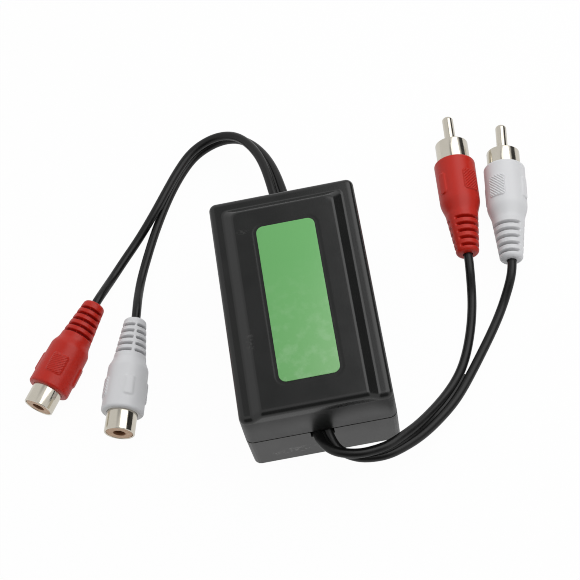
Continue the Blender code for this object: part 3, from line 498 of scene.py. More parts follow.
def nickel_plate():
    """Bright nickel with faint turning lines round the axis."""
    material, tree, shader, point = new_material("nickel")
    lines = noise(tree, stretched(tree, point, (0.03, 0.03, 1)), grain=0.00018, detail=2.0)
    smear = noise(tree, point, grain=0.0022, detail=4.0)
    set_inputs(tree, shader, {
        "Base Color": mix_colours(tree, smear, *NICKEL_COLOURS),
        "Metallic": 1.0,
        "Roughness": varied(tree, smear, 0.10, 0.17),
        "Normal": bump(tree, lines, 0.000002),
    })
    return material


def insulator_phenolic():
    """Tan laminate of the insulators, with painted shade darkening the hole that a plug's pin goes through.
    """
    material, tree, shader, point = new_material("insulator_phenolic")
    cloud = noise(tree, point, grain=0.0008, detail=4.0)
    tan = mix_colours(tree, cloud, *INSULATOR_COLOURS)
    flat = add_node(tree, "ShaderNodeVectorMath", {0: point, 1: (1, 1, 0)}, operation="MULTIPLY").outputs[0]
    radius = add_node(tree, "ShaderNodeVectorMath", {0: flat}, operation="LENGTH").outputs["Value"]
    # Painted shade: darker inside the hole, fading out just beyond its edge
    in_hole = spread(tree, radius, JACK_HOLE_RADIUS, JACK_HOLE_RADIUS + HOLE_SHADE_EDGE, 1.0, 0.0)
    set_inputs(tree, shader, {
        "Base Color": mix_colours(tree, in_hole, tan, HOLE_SHADE_COLOUR),
        "Roughness": varied(tree, cloud, 0.45, 0.55),
        "Normal": bump(tree, noise(tree, point, grain=0.0002), 0.00001),
    })
    return material


def simple_finish(name, dark, light, roughness, grain, metallic):
    """A finish with a cloudy colour and a fine relief."""
    material, tree, shader, point = new_material(name)
    cloud = noise(tree, point, grain, detail=4.0)
    set_inputs(tree, shader, {
        "Base Color": mix_colours(tree, cloud, dark, light),
        "Metallic": metallic,
        "Roughness": varied(tree, cloud, roughness - 0.05, roughness + 0.05),
        "Normal": bump(tree, noise(tree, point, grain / 4), 0.00001),
    })
    return material


FINISHES = {
    "case_plastic": case_plastic(),
    "label_vinyl": label_vinyl(),
    "lead_pvc": lead_pvc(),
    "red_pvc": moulded_pvc("red_pvc", *RED_COLOURS),
    "white_pvc": moulded_pvc("white_pvc", *WHITE_COLOURS),
    "nickel": nickel_plate(),
    "insulator_phenolic": insulator_phenolic(),
    **{name: simple_finish(name, *values) for name, values in SIMPLE_FINISHES.items()},
}


def finish_solids():
    """Give the CAD solids their slots' finishes, for those that nothing replaces."""
    for row in frame["record"]["subparts"]:
        materials = frame["nodes"][row["node"]].data.materials
        materials.clear()
        materials.append(FINISHES[row["material_slot"]])


# Making and placing pieces

def add_piece(name, data, slot, *replaces):
    """Link a piece with its slot's finish. The CAD node that it replaces says which connector it lies in."""
    piece = bpy.data.objects.new(name, data)
    connector = replaces[0].rpartition("_")[0] if replaces else ""
    if connector in CONNECTORS:
        piece.matrix_world = connector_frame(connector)
    data.materials.append(FINISHES[slot])
    bpy.context.scene.collection.objects.link(piece)
    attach(piece, "root")
    if replaces:
        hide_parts(*replaces)
    return piece


def mesh_from(cage, name, sharp_angle=40):
    bmesh.ops.recalc_face_normals(cage, faces=cage.faces)
    mesh = bpy.data.meshes.new(name)
    cage.to_mesh(mesh)
    cage.free()
    mesh.shade_smooth()
    mesh.set_sharp_from_angle(angle=math.radians(sharp_angle))
    return mesh


def smooth_step(value):
    value = min(max(value, 0.0), 1.0)
    return value * value * (3 - 2 * value)


def between(low, high, share):
    return low + (high - low) * share


def on_ring(radius, turn, height):
    return (radius * math.cos(turn), radius * math.sin(turn), height)


def join_rings(cage, rings):
    """Faces between each ring of points and the next. A ring on the axis has one point."""
    for near, far in zip(rings, rings[1:]):
        count = max(len(near), len(far))
        for step in range(count):
            after = (step + 1) % count
            corners = (near[step % len(near)], near[after % len(near)], far[after % len(far)],
                       far[step % len(far)])
            cage.faces.new(list(dict.fromkeys(corners)))


def depth_inside(beyond_x, beyond_y, corner):
    """How far inside a rounded outline a place is, given how far it is past the start of the rounding."""
    outside = math.hypot(max(beyond_x, 0), max(beyond_y, 0)) + min(max(beyond_x, beyond_y), 0)
    return corner - outside


# Cords

def spline_slopes(knots, values):
    """Slopes of the natural cubic spline through the values at the knots."""
    count = len(knots)
    spans = numpy.diff(knots)
    rises = numpy.diff(values, axis=0) / spans[:, None]
    system = numpy.zeros((count, count))
    target = numpy.zeros(values.shape)
    system[0, :2] = (2, 1)
    target[0] = 3 * rises[0]
    system[-1, -2:] = (1, 2)
    target[-1] = 3 * rises[-1]
    for row in range(1, count - 1):
        before, after = spans[row - 1], spans[row]
        system[row, row - 1:row + 2] = (after, 2 * (before + after), before)
        target[row] = 3 * (after * rises[row - 1] + before * rises[row])
    return numpy.linalg.solve(system, target)


def smooth_points(points, parts):
    """Points along the smooth curve through the given ones, with each span in a number of parts."""
    values = numpy.array(points, dtype=float)
    steps = numpy.linalg.norm(numpy.diff(values[:, :3], axis=0), axis=1)
    knots = numpy.concatenate(([0], numpy.cumsum(steps)))
    slopes = spline_slopes(knots, values)
    path = []
    for row in range(len(values) - 1):
        span = knots[row + 1] - knots[row]
        for step in range(parts):
            share = step / parts
            path.append((1 + 2 * share) * (1 - share) ** 2 * values[row]
                        + share * (1 - share) ** 2 * span * slopes[row]
                        + share ** 2 * (3 - 2 * share) * values[row + 1]
                        - share ** 2 * (1 - share) * span * slopes[row + 1])
    path.append(values[-1])
    return numpy.array(path)


def connector_frame(name):
    """The connector's own frame: Z along its axis towards the mouth, X up before it is rolled."""
    connector = CONNECTORS[name]
    heading = math.radians(connector["heading"])
    along = Vector((math.cos(heading), math.sin(heading), 0))
    up = Vector((0, 0, 1))
    turn = Matrix((up, along.cross(up), along)).transposed().to_4x4()
    roll = Matrix.Rotation(math.radians(connector["roll"]), 4, "Z")
    return Matrix.Translation(connector["rear"]) @ turn @ roll


def pair_side(pair_route, side):
    """The centre line of one lead of a twisted pair, on the side 1 (red) or -1 (white)."""
    route = numpy.array(pair_route)
    tangents = numpy.gradient(route[:, :3], axis=0)
    line = []
    for place, tangent in zip(route, tangents):
        forward = Vector(tangent).normalized()
        left = Vector((0, 0, 1)).cross(forward).normalized()
        lift = forward.cross(left)
        twist = math.radians(place[3])
        aside = math.cos(twist) * left + math.sin(twist) * lift
        line.append(Vector(place[:3]) + side * LEAD_PITCH / 2 * aside)
    return line


def ferrule_rear(reach):
    """Where the ferrule's rim ends inside a plug's boot, with the shank behind it."""
    return PLUG_BOOT["length"] + reach - FERRULE_LENGTH


def barrel_rear(reach):
    return JACK_BOOT["length"] + reach - BARREL_LENGTH


def bore_depth(connector):
    """How far a lead goes into a connector: nearly to its metal parts."""
    reach = CONNECTORS[connector]["reach"]
    if "plug" in connector:
        return ferrule_rear(reach) - SHANK_LENGTH - 4 * CLEARANCE
    contact_rear = JACK_BOOT["length"] + reach - JACK_LIP - CONTACT_LENGTH
    return min(barrel_rear(reach), contact_rear) - 2 * CLEARANCE


def lead_path(name, pair_route, side, connector):
    """The centre line of a lead, from inside the case to the end of the bore in its boot."""
    place = connector_frame(connector)
    depth = bore_depth(connector)
    entries = (-LEAD_DIAMETER / 2, LEAD_DIAMETER, depth / 2, depth)
    ends = [place @ Vector((0, 0, along)) for along in entries]
    route = pair_side(pair_route, side) + [Vector(point) for point in SINGLE_ROUTES[name]] + ends
    return smooth_points(route, LEAD_PARTS)


def build_lead(name, path):
    curve = bpy.data.curves.new(name + "_cord", "CURVE")
    curve.dimensions = "3D"
    curve.bevel_depth = LEAD_DIAMETER / 2
    curve.bevel_resolution = LEAD_BEVEL_STEPS
    curve.use_fill_caps = True
    spline = curve.splines.new("POLY")
    spline.points.add(len(path) - 1)
    for point, place in zip(spline.points, path):
        point.co = (*place, 1.0)
    return add_piece(name + "_cord", curve, "lead_pvc", name)


def build_web(name, first, second):
    """The web that joins the two leads of a pair, between their centre lines."""
    cage = bmesh.new()
    middle = (first + second) / 2
    tangents = numpy.gradient(middle, axis=0)
    rings = []
    for place, tangent, across in zip(middle, tangents, second - first):
        across = Vector(across).normalized()
        lift = Vector(tangent).normalized().cross(across)
        ring = []
        for side, level in ((-1, -1), (1, -1), (1, 1), (-1, 1)):
            edge = Vector(place) + side * WEB_HALF_WIDTH * across
            ring.append(cage.verts.new(edge + level * WEB_HALF_THICKNESS * lift))
        rings.append(ring)
    join_rings(cage, rings)
    cage.faces.new(rings[0])
    cage.faces.new(rings[-1])
    return add_piece(name, mesh_from(cage, name), "lead_pvc")


def build_pair(end_name, connector_kind, pair_route, exit_side):
    """Both leads of one end of the case and their web. Returns each lead, its exit and its length."""
    cords = []
    paths = []
    for colour, side in (("red", 1), ("white", -1)):
        name = end_name + "_" + colour + "_lead"
        path = lead_path(name, pair_route, side, end_name + "_" + colour + "_" + connector_kind)
        paths.append(path)
        exit_point = (-side * LEAD_EXIT[0] * exit_side, LEAD_EXIT[1] * exit_side, LEAD_EXIT[2])
        cords.append((build_lead(name, path), exit_point, LEAD_LENGTHS[name]))
    joined = (len(pair_route) - 1) * LEAD_PARTS + 1
    build_web(end_name + "_web", paths[0][:joined], paths[1][:joined])
    return cords


# Boots

def boot_radius(kind, along):
    """Radius of the plain boot at a distance from its rear."""
    if along <= kind["neck_end"]:
        share = along / kind["neck_end"]
        return between(kind["rear_radius"], kind["neck_radius"], share)
    if along <= kind["shoulder_end"]:
        share = (along - kind["neck_end"]) / (kind["shoulder_end"] - kind["neck_end"])
        return between(kind["neck_radius"], kind["body_radius"], smooth_step(share))
    share = (along - kind["shoulder_end"]) / (kind["length"] - kind["shoulder_end"])
    return between(kind["body_radius"], kind["mouth_radius"], share)


def angle_from(angle, centre):
    return (angle - centre + 180) % 360 - 180


def groove_depth(kind, along, angle):
    """How deep the strain relief's grooves are at a place: rounded slots that end at the webs."""
    nearest = min(abs(along - kind["first_groove"] - count * kind["groove_pitch"])
                  for count in range(GROOVE_COUNT))
    beside_web = min(abs(angle_from(angle, web)) for web in kind["web_angles"]) - kind["web_half_width"]
    open_share = smooth_step(beside_web / GROOVE_END_ANGLE + 0.5)
    for web in kind["faint_web_angles"]:
        open_share -= FAINT_WEB_LEVEL * (1 - smooth_step(abs(angle_from(angle, web)) / FAINT_WEB_ANGLE))
    return GROOVE_DEPTH * open_share * math.exp(-(nearest / GROOVE_HALF_WIDTH) ** GROOVE_SQUARENESS)


def pad_edge_distance(kind, along, angle, pad):
    """How far inside the rounded outline of a grip pad a place is."""
    centre, half_angle = pad
    radius = kind["body_radius"]
    middle = kind["pad_start"] + kind["pad_length"] / 2
    beyond_x = math.radians(abs(angle_from(angle, centre)) - half_angle) * radius + PAD_CORNER
    beyond_y = abs(along - middle) - kind["pad_length"] / 2 + PAD_CORNER
    return depth_inside(beyond_x, beyond_y, PAD_CORNER)


def pad_rise(kind, along, angle):
    """How far the grip pads stand out at a place."""
    return sum(PAD_RISE * smooth_step(pad_edge_distance(kind, along, angle, pad) / kind["pad_ramp"])
               for pad in kind["smooth_pads"] + kind["ridged_pads"])


def ridge_depth(kind, lean, along, angle):
    """Depth of the valleys between the ridged pads' ridges, which a lean of 1 or -1 slants either way."""
    depth = 0.0
    for pad in kind["ridged_pads"]:
        inside = smooth_step((pad_edge_distance(kind, along, angle, pad) - RIDGE_INSET) / RIDGE_MARGIN)
        sideways = math.radians(angle_from(angle, pad[0])) * kind["body_radius"]
        phase = 2 * math.pi * (lean * sideways + along) / (math.sqrt(2) * RIDGE_PITCH)
        depth += kind["ridge_depth"] * inside * (0.5 + 0.5 * math.cos(phase)) ** 2
    return depth


def boot_rings(kind):
    """Distances from the rear at which the boot has a ring of points, with the inset of its rounded ends."""
    turns = [math.radians(90 * step / BOOT_FILLET_STEPS) for step in range(BOOT_FILLET_STEPS + 1)]
    rings = [(BOOT_REAR_FILLET * (1 - math.cos(turn)), BOOT_REAR_FILLET * (1 - math.sin(turn)))
             for turn in turns[:-1]]
    mouth = kind["length"] - BOOT_MOUTH_FILLET
    pads = (kind["pad_start"] - COARSE_RING, kind["pad_start"] + kind["pad_length"] + COARSE_RING)
    along = BOOT_REAR_FILLET
    while along < mouth:
        rings.append((along, 0.0))
        detailed = along < kind["neck_end"] or pads[0] < along < pads[1]
        along += FINE_RING if detailed else COARSE_RING
    for turn in turns:
        rings.append((mouth + BOOT_MOUTH_FILLET * math.sin(turn), BOOT_MOUTH_FILLET * (1 - math.cos(turn))))
    return rings


def boot_angles(kind):
    """Angles round a boot, close together where the ridged pads are."""
    angles = []
    angle = 0.0
    while angle < 360:
        angles.append(angle)
        ridged = any(abs(angle_from(angle, centre)) < half_angle + FINE_ANGLE_MARGIN
                     for centre, half_angle in kind["ridged_pads"])
        angle += FINE_ANGLE if ridged else COARSE_ANGLE
    return angles


def boot_mesh(kind, connector, bore_radius):
    """A boot: its outside with grooves and pads, a short bore for the metal and a thin one for the lead."""
    cage = bmesh.new()
    hollow_shade = cage.verts.layers.float.new("hollow_shade")
    angles = boot_angles(kind)
    lean = -1 if "red" in connector else 1
    rings = []
    for along, inset in boot_rings(kind):
        ring = []
        for angle in angles:
            groove = groove_depth(kind, along, angle)
            ridge = ridge_depth(kind, lean, along, angle)
            radius = boot_radius(kind, along) - inset - groove - ridge + pad_rise(kind, along, angle)
            point = cage.verts.new(on_ring(radius, math.radians(angle), along))
            # How deep a place lies in a groove or between ridges, which the finish turns into painted shade
            groove_shade = (groove / GROOVE_DEPTH) ** 2
            point[hollow_shade] = max(groove_shade, RIDGE_SHADE * (ridge / kind["ridge_depth"]) ** 2)
            ring.append(point)
        rings.append(ring)
    lead_bore = (LEAD_DIAMETER + CLEARANCE) / 2
    step = kind["length"] - BORE_STEP
    bore = ((kind["length"], bore_radius), (step, bore_radius), (step, lead_bore), (0, lead_bore))
    for along, radius in bore:
        rings.append([cage.verts.new(on_ring(radius, math.radians(angle), along)) for angle in angles])
    join_rings(cage, rings + rings[:1])
    return mesh_from(cage, connector + "_boot_shell", sharp_angle=60)


# Turned pieces

def rounded_outline(outline, radius):
    """The outline with its corners rounded, apart from its two ends."""
    result = [outline[0]]
    for before, corner, after in zip(outline, outline[1:], outline[2:]):
        corner = Vector(corner)
        into = Vector(before) - corner
        out = Vector(after) - corner
        reach = min(radius, into.length / 2, out.length / 2)
        start = corner + into.normalized() * reach
        end = corner + out.normalized() * reach
        for step in range(TURNED_CORNER_STEPS + 1):
            share = step / TURNED_CORNER_STEPS
            bend = (1 - share) ** 2 * start + 2 * share * (1 - share) * corner + share ** 2 * end
            result.append(tuple(bend))
    result.append(outline[-1])
    return result


def add_turned(connector, node, form, outline, slot, steps=TURNED_STEPS):
    """Add a connector's piece, spun round its axis from an outline of radii and heights.

    An outline that touches the axis at both ends is a solid one, and any other is closed into a tube.
    """
    name = "_".join((connector, node, form))
    cage = bmesh.new()
    rings = []
    for radius, height in outline:
        count = steps if radius > AXIS_RADIUS else 1
        turns = [2 * math.pi * step / steps for step in range(count)]
        rings.append([cage.verts.new(on_ring(radius, turn, height)) for turn in turns])
    if len(rings[0]) > 1:
        rings.append(rings[0])
    join_rings(cage, rings)
    return add_piece(name, mesh_from(cage, name), slot, connector + "_" + node)


def add_boot(connector, kind, metal_radius):
    mesh = boot_mesh(kind, connector, metal_radius + CLEARANCE / 4)
    slot = "red_pvc" if "red" in connector else "white_pvc"
    return add_piece(connector + "_boot_shell", mesh, slot, connector + "_boot")


def cut(piece, cage):
    """Cut a shape away from a piece and keep the result."""
    tool = bpy.data.objects.new("tool", mesh_from(cage, "tool"))
    bpy.context.scene.collection.objects.link(tool)
    tool.matrix_world = piece.matrix_world
    step = piece.modifiers.new("cut", "BOOLEAN")
    step.object = tool
    step.solver = "EXACT"
    bpy.context.view_layer.update()
    result = bpy.data.meshes.new_from_object(piece.evaluated_get(bpy.context.evaluated_depsgraph_get()))
    piece.modifiers.clear()
    piece.data = result
    bpy.data.objects.remove(tool)


def box(low, high):
    cage = bmesh.new()
    low, high = Vector(low), Vector(high)
    place = Matrix.Translation((low + high) / 2) @ Matrix.Diagonal((*(high - low), 1.0))
    bmesh.ops.create_cube(cage, size=1.0, matrix=place)
    return cage


def build_plug(name):
    """The plug's boot, ferrule, insulator and pin."""
    reach = CONNECTORS[name]["reach"]
    seat = ferrule_rear(reach)
    front = PLUG_BOOT["length"] + reach
    rear = seat - SHANK_LENGTH
    rim_inside = FERRULE_RADIUS - FERRULE_WALL
    shank_inside = SHANK_RADIUS - FERRULE_WALL
    boot = add_boot(name, PLUG_BOOT, FERRULE_RADIUS)
    outline = [
        (rim_inside, seat + FERRULE_WALL), (rim_inside, front), (FERRULE_RADIUS, front),
        (FERRULE_RADIUS, seat), (SHANK_RADIUS, seat), (SHANK_RADIUS, rear), (shank_inside, rear),
        (shank_inside, seat + FERRULE_WALL),
    ]
    ferrule = add_turned(name, "ferrule", "tube", rounded_outline(outline, FERRULE_ROUNDING), "nickel")
    cut(ferrule, box((-2 * FERRULE_RADIUS, -FERRULE_SEAM / 4, seat + 2 * FERRULE_WALL),
                     (0, FERRULE_SEAM / 4, 2 * front)))
    collar_rear = seat + FERRULE_WALL + CLEARANCE
    collar_front = collar_rear + PLUG_INSULATOR_COLLAR
    bore = PIN_RADIUS + CLEARANCE / 4
    body = shank_inside - CLEARANCE
    collar = rim_inside - CLEARANCE / 4
    outline = [(bore, collar_front), (collar, collar_front), (collar, collar_rear), (body, collar_rear),
               (body, rear), (bore, rear)]
    insulator = add_turned(name, "insulator", "disc", outline, "insulator_phenolic")
    tip = front + PIN_PROTRUSION
    outline = []
    for angle in range(0, 91, PIN_TIP_STEP):
        turn = math.radians(angle)
        dome_drop = PIN_RADIUS * PIN_TIP_LENGTH * (1 - math.cos(turn))
        outline.append((PIN_RADIUS * math.sin(turn), tip - dome_drop))
    outline += [(PIN_RADIUS, rear), (0, rear)]
    pin = add_turned(name, "pin", "rod", outline, "nickel", THIN_TURNED_STEPS)
    return [boot, ferrule, insulator, pin]


def build_jack(name):
    """The jack's boot, barrel, insulator and contact."""
    reach = CONNECTORS[name]["reach"]
    rear = barrel_rear(reach)
    front = JACK_BOOT["length"] + reach
    inside = BARREL_RADIUS - BARREL_WALL
    boot = add_boot(name, JACK_BOOT, BARREL_RADIUS)
    outline = [(inside, rear + BARREL_WALL), (inside, front), (BARREL_RADIUS, front), (BARREL_RADIUS, rear),
               (inside, rear)]
    barrel = add_turned(name, "barrel", "tube", rounded_outline(outline, BARREL_ROUNDING), "nickel")
    contact_radius = JACK_HOLE_RADIUS + CONTACT_WALL
    bore = contact_radius + CLEARANCE
    body = inside - CLEARANCE / 4
    lip_rear = front - JACK_LIP
    face = front - BARREL_WALL / 4
    outline = [(bore, lip_rear), (JACK_HOLE_RADIUS, lip_rear), (JACK_HOLE_RADIUS, face), (body, face),
               (body, rear), (bore, rear)]
    insulator = add_turned(name, "insulator", "disc", rounded_outline(outline, INSULATOR_ROUNDING),
                           "insulator_phenolic")
    contact_front = lip_rear - CLEARANCE
    contact_rear = contact_front - CONTACT_LENGTH
    socket_end = contact_front - SOCKET_DEPTH
    outline = [(0, socket_end), (JACK_HOLE_RADIUS, socket_end), (JACK_HOLE_RADIUS, contact_front),
               (contact_radius, contact_front), (contact_radius, contact_rear), (0, contact_rear)]
    contact = add_turned(name, "contact", "sleeve", outline, "nickel", THIN_TURNED_STEPS)
    return [boot, barrel, insulator, contact]


# Case

def plateau_height(x, y):
    """Height of the lid's top over its rim, from the plateau with its sloping sides and rounded edges."""
    side = abs(x) - PLATEAU_HALF_WIDTH
    end = y - PLATEAU_END
    share = max(side / PLATEAU_SIDE_SLOPE, end / PLATEAU_END_SLOPE)
    corner_x = side + PLATEAU_CORNER - share * PLATEAU_SIDE_SLOPE
    corner_y = end + PLATEAU_CORNER - share * PLATEAU_END_SLOPE
    if corner_x > 0 and corner_y > 0:
        # Round a corner, the share is the root of a quadratic equation
        square = PLATEAU_SIDE_SLOPE ** 2 + PLATEAU_END_SLOPE ** 2
        linear = (side + PLATEAU_CORNER) * PLATEAU_SIDE_SLOPE + (end + PLATEAU_CORNER) * PLATEAU_END_SLOPE
        constant = (side + PLATEAU_CORNER) ** 2 + (end + PLATEAU_CORNER) ** 2 - PLATEAU_CORNER ** 2
        share = (linear - math.sqrt(max(linear * linear - square * constant, 0))) / square
    return PLATEAU_RISE * rounded_ramp(share)


def rounded_ramp(share):
    """1 before 0, 0 after 1 and straight between, with both ends rounded."""
    blend = PLATEAU_BLEND
    if share <= -blend:
        return 1.0
    if share < blend:
        return 1 - (share + blend) ** 2 / (4 * blend)
    if share <= 1 - blend:
        return 1 - share
    if share < 1 + blend:
        return (1 + blend - share) ** 2 / (4 * blend)
    return 0.0


def recess_depth(x, y):
    """Depth of the label's recess at a place."""
    corner = LABEL_CORNER + RECESS_MARGIN
    beyond_x = abs(x) - LABEL_WIDTH / 2 - RECESS_MARGIN + corner
    beyond_y = abs(y + LABEL_FORWARD) - LABEL_LENGTH / 2 - RECESS_MARGIN + corner
    return RECESS_DEPTH * smooth_step(depth_inside(beyond_x, beyond_y, corner) / RECESS_RAMP)


def spaced(stops):
    """Numbers along an axis: between each two stops, evenly spaced by no more than the step given."""
    numbers = []
    for (start, step), (end, _) in zip(stops, stops[1:]):
        count = max(1, math.ceil((end - start) / step - ROUNDING_ERROR))
        numbers += [start + (end - start) * index / count for index in range(count)]
    return numbers + [stops[-1][0]]


def wall_lean(height):
    """How far the lid's wall stands out beyond the rim's size at a height."""
    return DRAFT * (RIM_HEIGHT - height)


def lid_grid_axes():
    """Grid lines of the lid's top, dense at the slopes' edges and at the recess's edge."""
    half_x = CASE_WIDTH / 2 - CORNER_RADIUS
    half_y = CASE_LENGTH / 2 - CORNER_RADIUS
    recess_x = LABEL_WIDTH / 2 + RECESS_MARGIN
    recess_y = LABEL_LENGTH / 2 + RECESS_MARGIN
    corner = LABEL_CORNER + RECESS_MARGIN
    slope_start = PLATEAU_HALF_WIDTH - GRID_SLOPE_MARGIN
    slope_end = PLATEAU_HALF_WIDTH + PLATEAU_SIDE_SLOPE + GRID_SLOPE_MARGIN
    right = spaced([
        (0, GRID_LABEL), (recess_x - corner, GRID_RECESS), (recess_x + GRID_RECESS, GRID_FLAT),
        (slope_start, GRID_SLOPE), (slope_end, GRID_RIM), (half_x, None),
    ])
    xs = [-x for x in right[:0:-1]] + right
    rear_start = PLATEAU_END - GRID_SLOPE_MARGIN
    rear_end = min(PLATEAU_END + PLATEAU_END_SLOPE + GRID_SLOPE_MARGIN, half_y)
    ys = spaced([
        (-half_y, GRID_FLAT), (-LABEL_FORWARD - recess_y - GRID_RECESS, GRID_RECESS),
        (-LABEL_FORWARD - recess_y + corner, GRID_LABEL), (-LABEL_FORWARD + recess_y - corner, GRID_RECESS),
        (-LABEL_FORWARD + recess_y + GRID_RECESS, GRID_FLAT), (rear_start, GRID_SLOPE), (rear_end, GRID_RIM),
        (half_y, None),
    ])
    return xs, ys


def lid_outline(xs, ys):
    """Points of the lid's outline: each is a point of the inner rectangle and the way out from it."""
    low_x, high_x, low_y, high_y = xs[0], xs[-1], ys[0], ys[-1]
    outline = [((x, low_y), (0, -1)) for x in xs]
    outline += corner_arc((high_x, low_y), -90)
    outline += [((high_x, y), (1, 0)) for y in ys]
    outline += corner_arc((high_x, high_y), 0)
    outline += [((x, high_y), (0, 1)) for x in xs[::-1]]
    outline += corner_arc((low_x, high_y), 90)
    outline += [((low_x, y), (-1, 0)) for y in ys[::-1]]
    outline += corner_arc((low_x, low_y), 180)
    return outline


def corner_arc(corner, start):
    angles = [math.radians(start + 90 * step / LID_ARC_STEPS) for step in range(1, LID_ARC_STEPS)]
    return [(corner, (math.cos(angle), math.sin(angle))) for angle in angles]


def lid_rings(outline):
    """Rings of places down the lid's rounded edge and its wall, and up its inside."""
    outline = [(Vector(corner), Vector(way)) for corner, way in outline]
    rings = []
    for step in range(LID_FILLET_STEPS + 1):
        angle = math.radians(90 * step / LID_FILLET_STEPS)
        reach = CORNER_RADIUS - TOP_FILLET * (1 - math.sin(angle))
        ring = []
        for corner, way in outline:
            edge = corner + way * CORNER_RADIUS
            top = RIM_HEIGHT + plateau_height(edge.x, edge.y)
            height = top - TOP_FILLET * (1 - math.cos(angle))
            place = corner + way * (reach + wall_lean(height) * math.sin(angle))
            ring.append((*place, height))
        rings.append(ring)
    bottom = PARTING_HEIGHT + CLEARANCE / 2
    rounding = LID_EDGE_ROUNDING
    for level, inset in ((bottom + rounding, 0), (bottom + rounding / 3, rounding / 3), (bottom, rounding),
                         (bottom, WALL)):
        reach = max(CORNER_RADIUS + wall_lean(level) - inset, LID_INSIDE_REACH)
        rings.append([(*(corner + way * reach), level) for corner, way in outline])
    rings.append([(*(corner + way * LID_INSIDE_REACH), RIM_HEIGHT - WALL) for corner, way in outline])
    return rings


def build_lid():
    """The lid: a fine grid for its top, then rings down its rounded edge and wall, and up the inside."""
    cage = bmesh.new()
    xs, ys = lid_grid_axes()
    grid = {}
    for column, x in enumerate(xs):
        for row, y in enumerate(ys):
            height = RIM_HEIGHT + plateau_height(x, y) - recess_depth(x, y)
            grid[column, row] = cage.verts.new((x, y, height))
    for column in range(len(xs) - 1):
        for row in range(len(ys) - 1):
            cage.faces.new((grid[column, row], grid[column + 1, row], grid[column + 1, row + 1],
                            grid[column, row + 1]))
    outline = lid_outline(xs, ys)
    rings = [[grid[xs.index(corner[0]), ys.index(corner[1])] for corner, _ in outline]]
    for places in lid_rings(outline):
        rings.append([cage.verts.new(place) for place in places])
    join_rings(cage, rings)
    cage.faces.new(rings[-1])
    mesh = mesh_from(cage, "case_lid_shell", sharp_angle=50)
    return add_piece("case_lid_shell", mesh, "case_plastic", "case_lid")


def build_label():
    """The label in its recess, with a soft edge."""
    bottom = RIM_HEIGHT + PLATEAU_RISE - RECESS_DEPTH
    cage = box((-LABEL_WIDTH / 2, -LABEL_LENGTH / 2 - LABEL_FORWARD, bottom),
               (LABEL_WIDTH / 2, LABEL_LENGTH / 2 - LABEL_FORWARD, bottom + LABEL_THICKNESS))
    uprights = [edge for edge in cage.edges
                if abs(edge.verts[0].co.z - edge.verts[1].co.z) > LABEL_THICKNESS / 2]
    bmesh.ops.bevel(cage, geom=uprights, offset=LABEL_CORNER, segments=10, profile=0.5, affect="EDGES")
    upper = [edge for edge in cage.edges if min(vertex.co.z for vertex in edge.verts) > bottom]
    bmesh.ops.bevel(cage, geom=upper, offset=LABEL_EDGE_ROUNDING, segments=2, profile=0.5, affect="EDGES")
    return add_piece("label_sheet", mesh_from(cage, "label_sheet"), "label_vinyl", "label")


# Floor and light

def seen_directly(tree, path):
    """1 for rays from the camera, and for those that have come through something clear."""
    return arithmetic(tree, "MAXIMUM", path.outputs["Is Camera Ray"], path.outputs["Is Transmission Ray"])


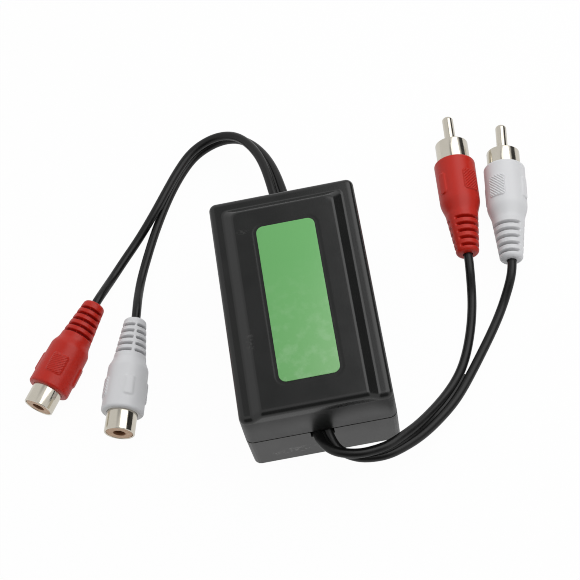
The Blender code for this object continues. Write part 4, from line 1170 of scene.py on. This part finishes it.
def make_floor():
    """A plain white floor that shows the object's shadow. Seen directly or in metal it is close to white."""
    mesh = bpy.data.meshes.new("floor")
    half = FLOOR_SIZE / 2
    corners = [(-half, -half, 0), (half, -half, 0), (half, half, 0), (-half, half, 0)]
    mesh.from_pydata(corners, [], [(0, 1, 2, 3)])
    floor = bpy.data.objects.new("floor", mesh)
    floor.location.z = CAD_BOUNDS[0][2] - FLOOR_DROP
    bpy.context.scene.collection.objects.link(floor)
    material, tree, _, _ = new_material("floor")
    tree.nodes.clear()
    path = add_node(tree, "ShaderNodeLightPath", {})
    seen = seen_directly(tree, path)
    level = spread(tree, seen, 0.0, 1.0, FLOOR_IN_GLOSS, 1.0)
    seen_white = arithmetic(tree, "MAXIMUM", seen, path.outputs["Is Glossy Ray"])
    paint = add_node(tree, "ShaderNodeBsdfDiffuse", {"Color": FLOOR_PAINT})
    glow = add_node(tree, "ShaderNodeEmission", {"Color": WHITE, "Strength": level})
    share = arithmetic(tree, "MULTIPLY", seen_white, FLOOR_WHITE_SHARE)
    mixed = add_node(tree, "ShaderNodeMixShader", {0: share, 1: paint.outputs[0], 2: glow.outputs[0]})
    add_node(tree, "ShaderNodeOutputMaterial", {"Surface": mixed.outputs[0]})
    mesh.materials.append(material)


def make_world():
    """An even studio with three darker patches, and plain white where the camera looks past the floor."""
    world = bpy.data.worlds.new("studio")
    bpy.context.scene.world = world
    world.use_nodes = True
    tree = world.node_tree
    tree.nodes.clear()
    seen = seen_directly(tree, add_node(tree, "ShaderNodeLightPath", {}))
    way = add_node(tree, "ShaderNodeTexCoord", {}).outputs["Generated"]
    strength = STUDIO_LEVEL
    for centre, size, core, level in DARK_PATCHES:
        patch = spread(tree, spot(tree, way, centre, size, core), 0.0, 1.0, 1.0, level)
        strength = arithmetic(tree, "MULTIPLY", strength, patch)
    studio = add_node(tree, "ShaderNodeBackground", {"Color": WHITE, "Strength": strength})
    white = add_node(tree, "ShaderNodeBackground", {"Color": WHITE, "Strength": 1.0})
    mixed = add_node(tree, "ShaderNodeMixShader", {0: seen, 1: studio.outputs[0], 2: white.outputs[0]})
    add_node(tree, "ShaderNodeOutputWorld", {"Surface": mixed.outputs[0]})


def make_softbox():
    """A rectangular lamp close over the object and to its right, of a given brightness."""
    light = bpy.data.lights.new("softbox", "AREA")
    light.shape = "RECTANGLE"
    light.size, light.size_y = SOFTBOX_SIZE
    light.energy = SOFTBOX_RADIANCE * math.pi * SOFTBOX_SIZE[0] * SOFTBOX_SIZE[1]
    lamp = bpy.data.objects.new("softbox", light)
    lamp.location = SOFTBOX_PLACE
    lamp.rotation_euler = Vector(SOFTBOX_BACK).to_track_quat("Z", "Y").to_euler()
    bpy.context.scene.collection.objects.link(lamp)


make_camera()
input_cords = build_pair("input", "jack", INPUT_PAIR_ROUTE, 1)
output_cords = build_pair("output", "plug", OUTPUT_PAIR_ROUTE, -1)
connector_pieces = [build_plug(name) if "plug" in name else build_jack(name) for name in CONNECTORS]
build_lid()
build_label()
finish_solids()
make_floor()
make_world()
make_softbox()
bpy.context.scene.view_settings.view_transform = "Standard"
bpy.context.scene.cycles.filter_width = PIXEL_FILTER
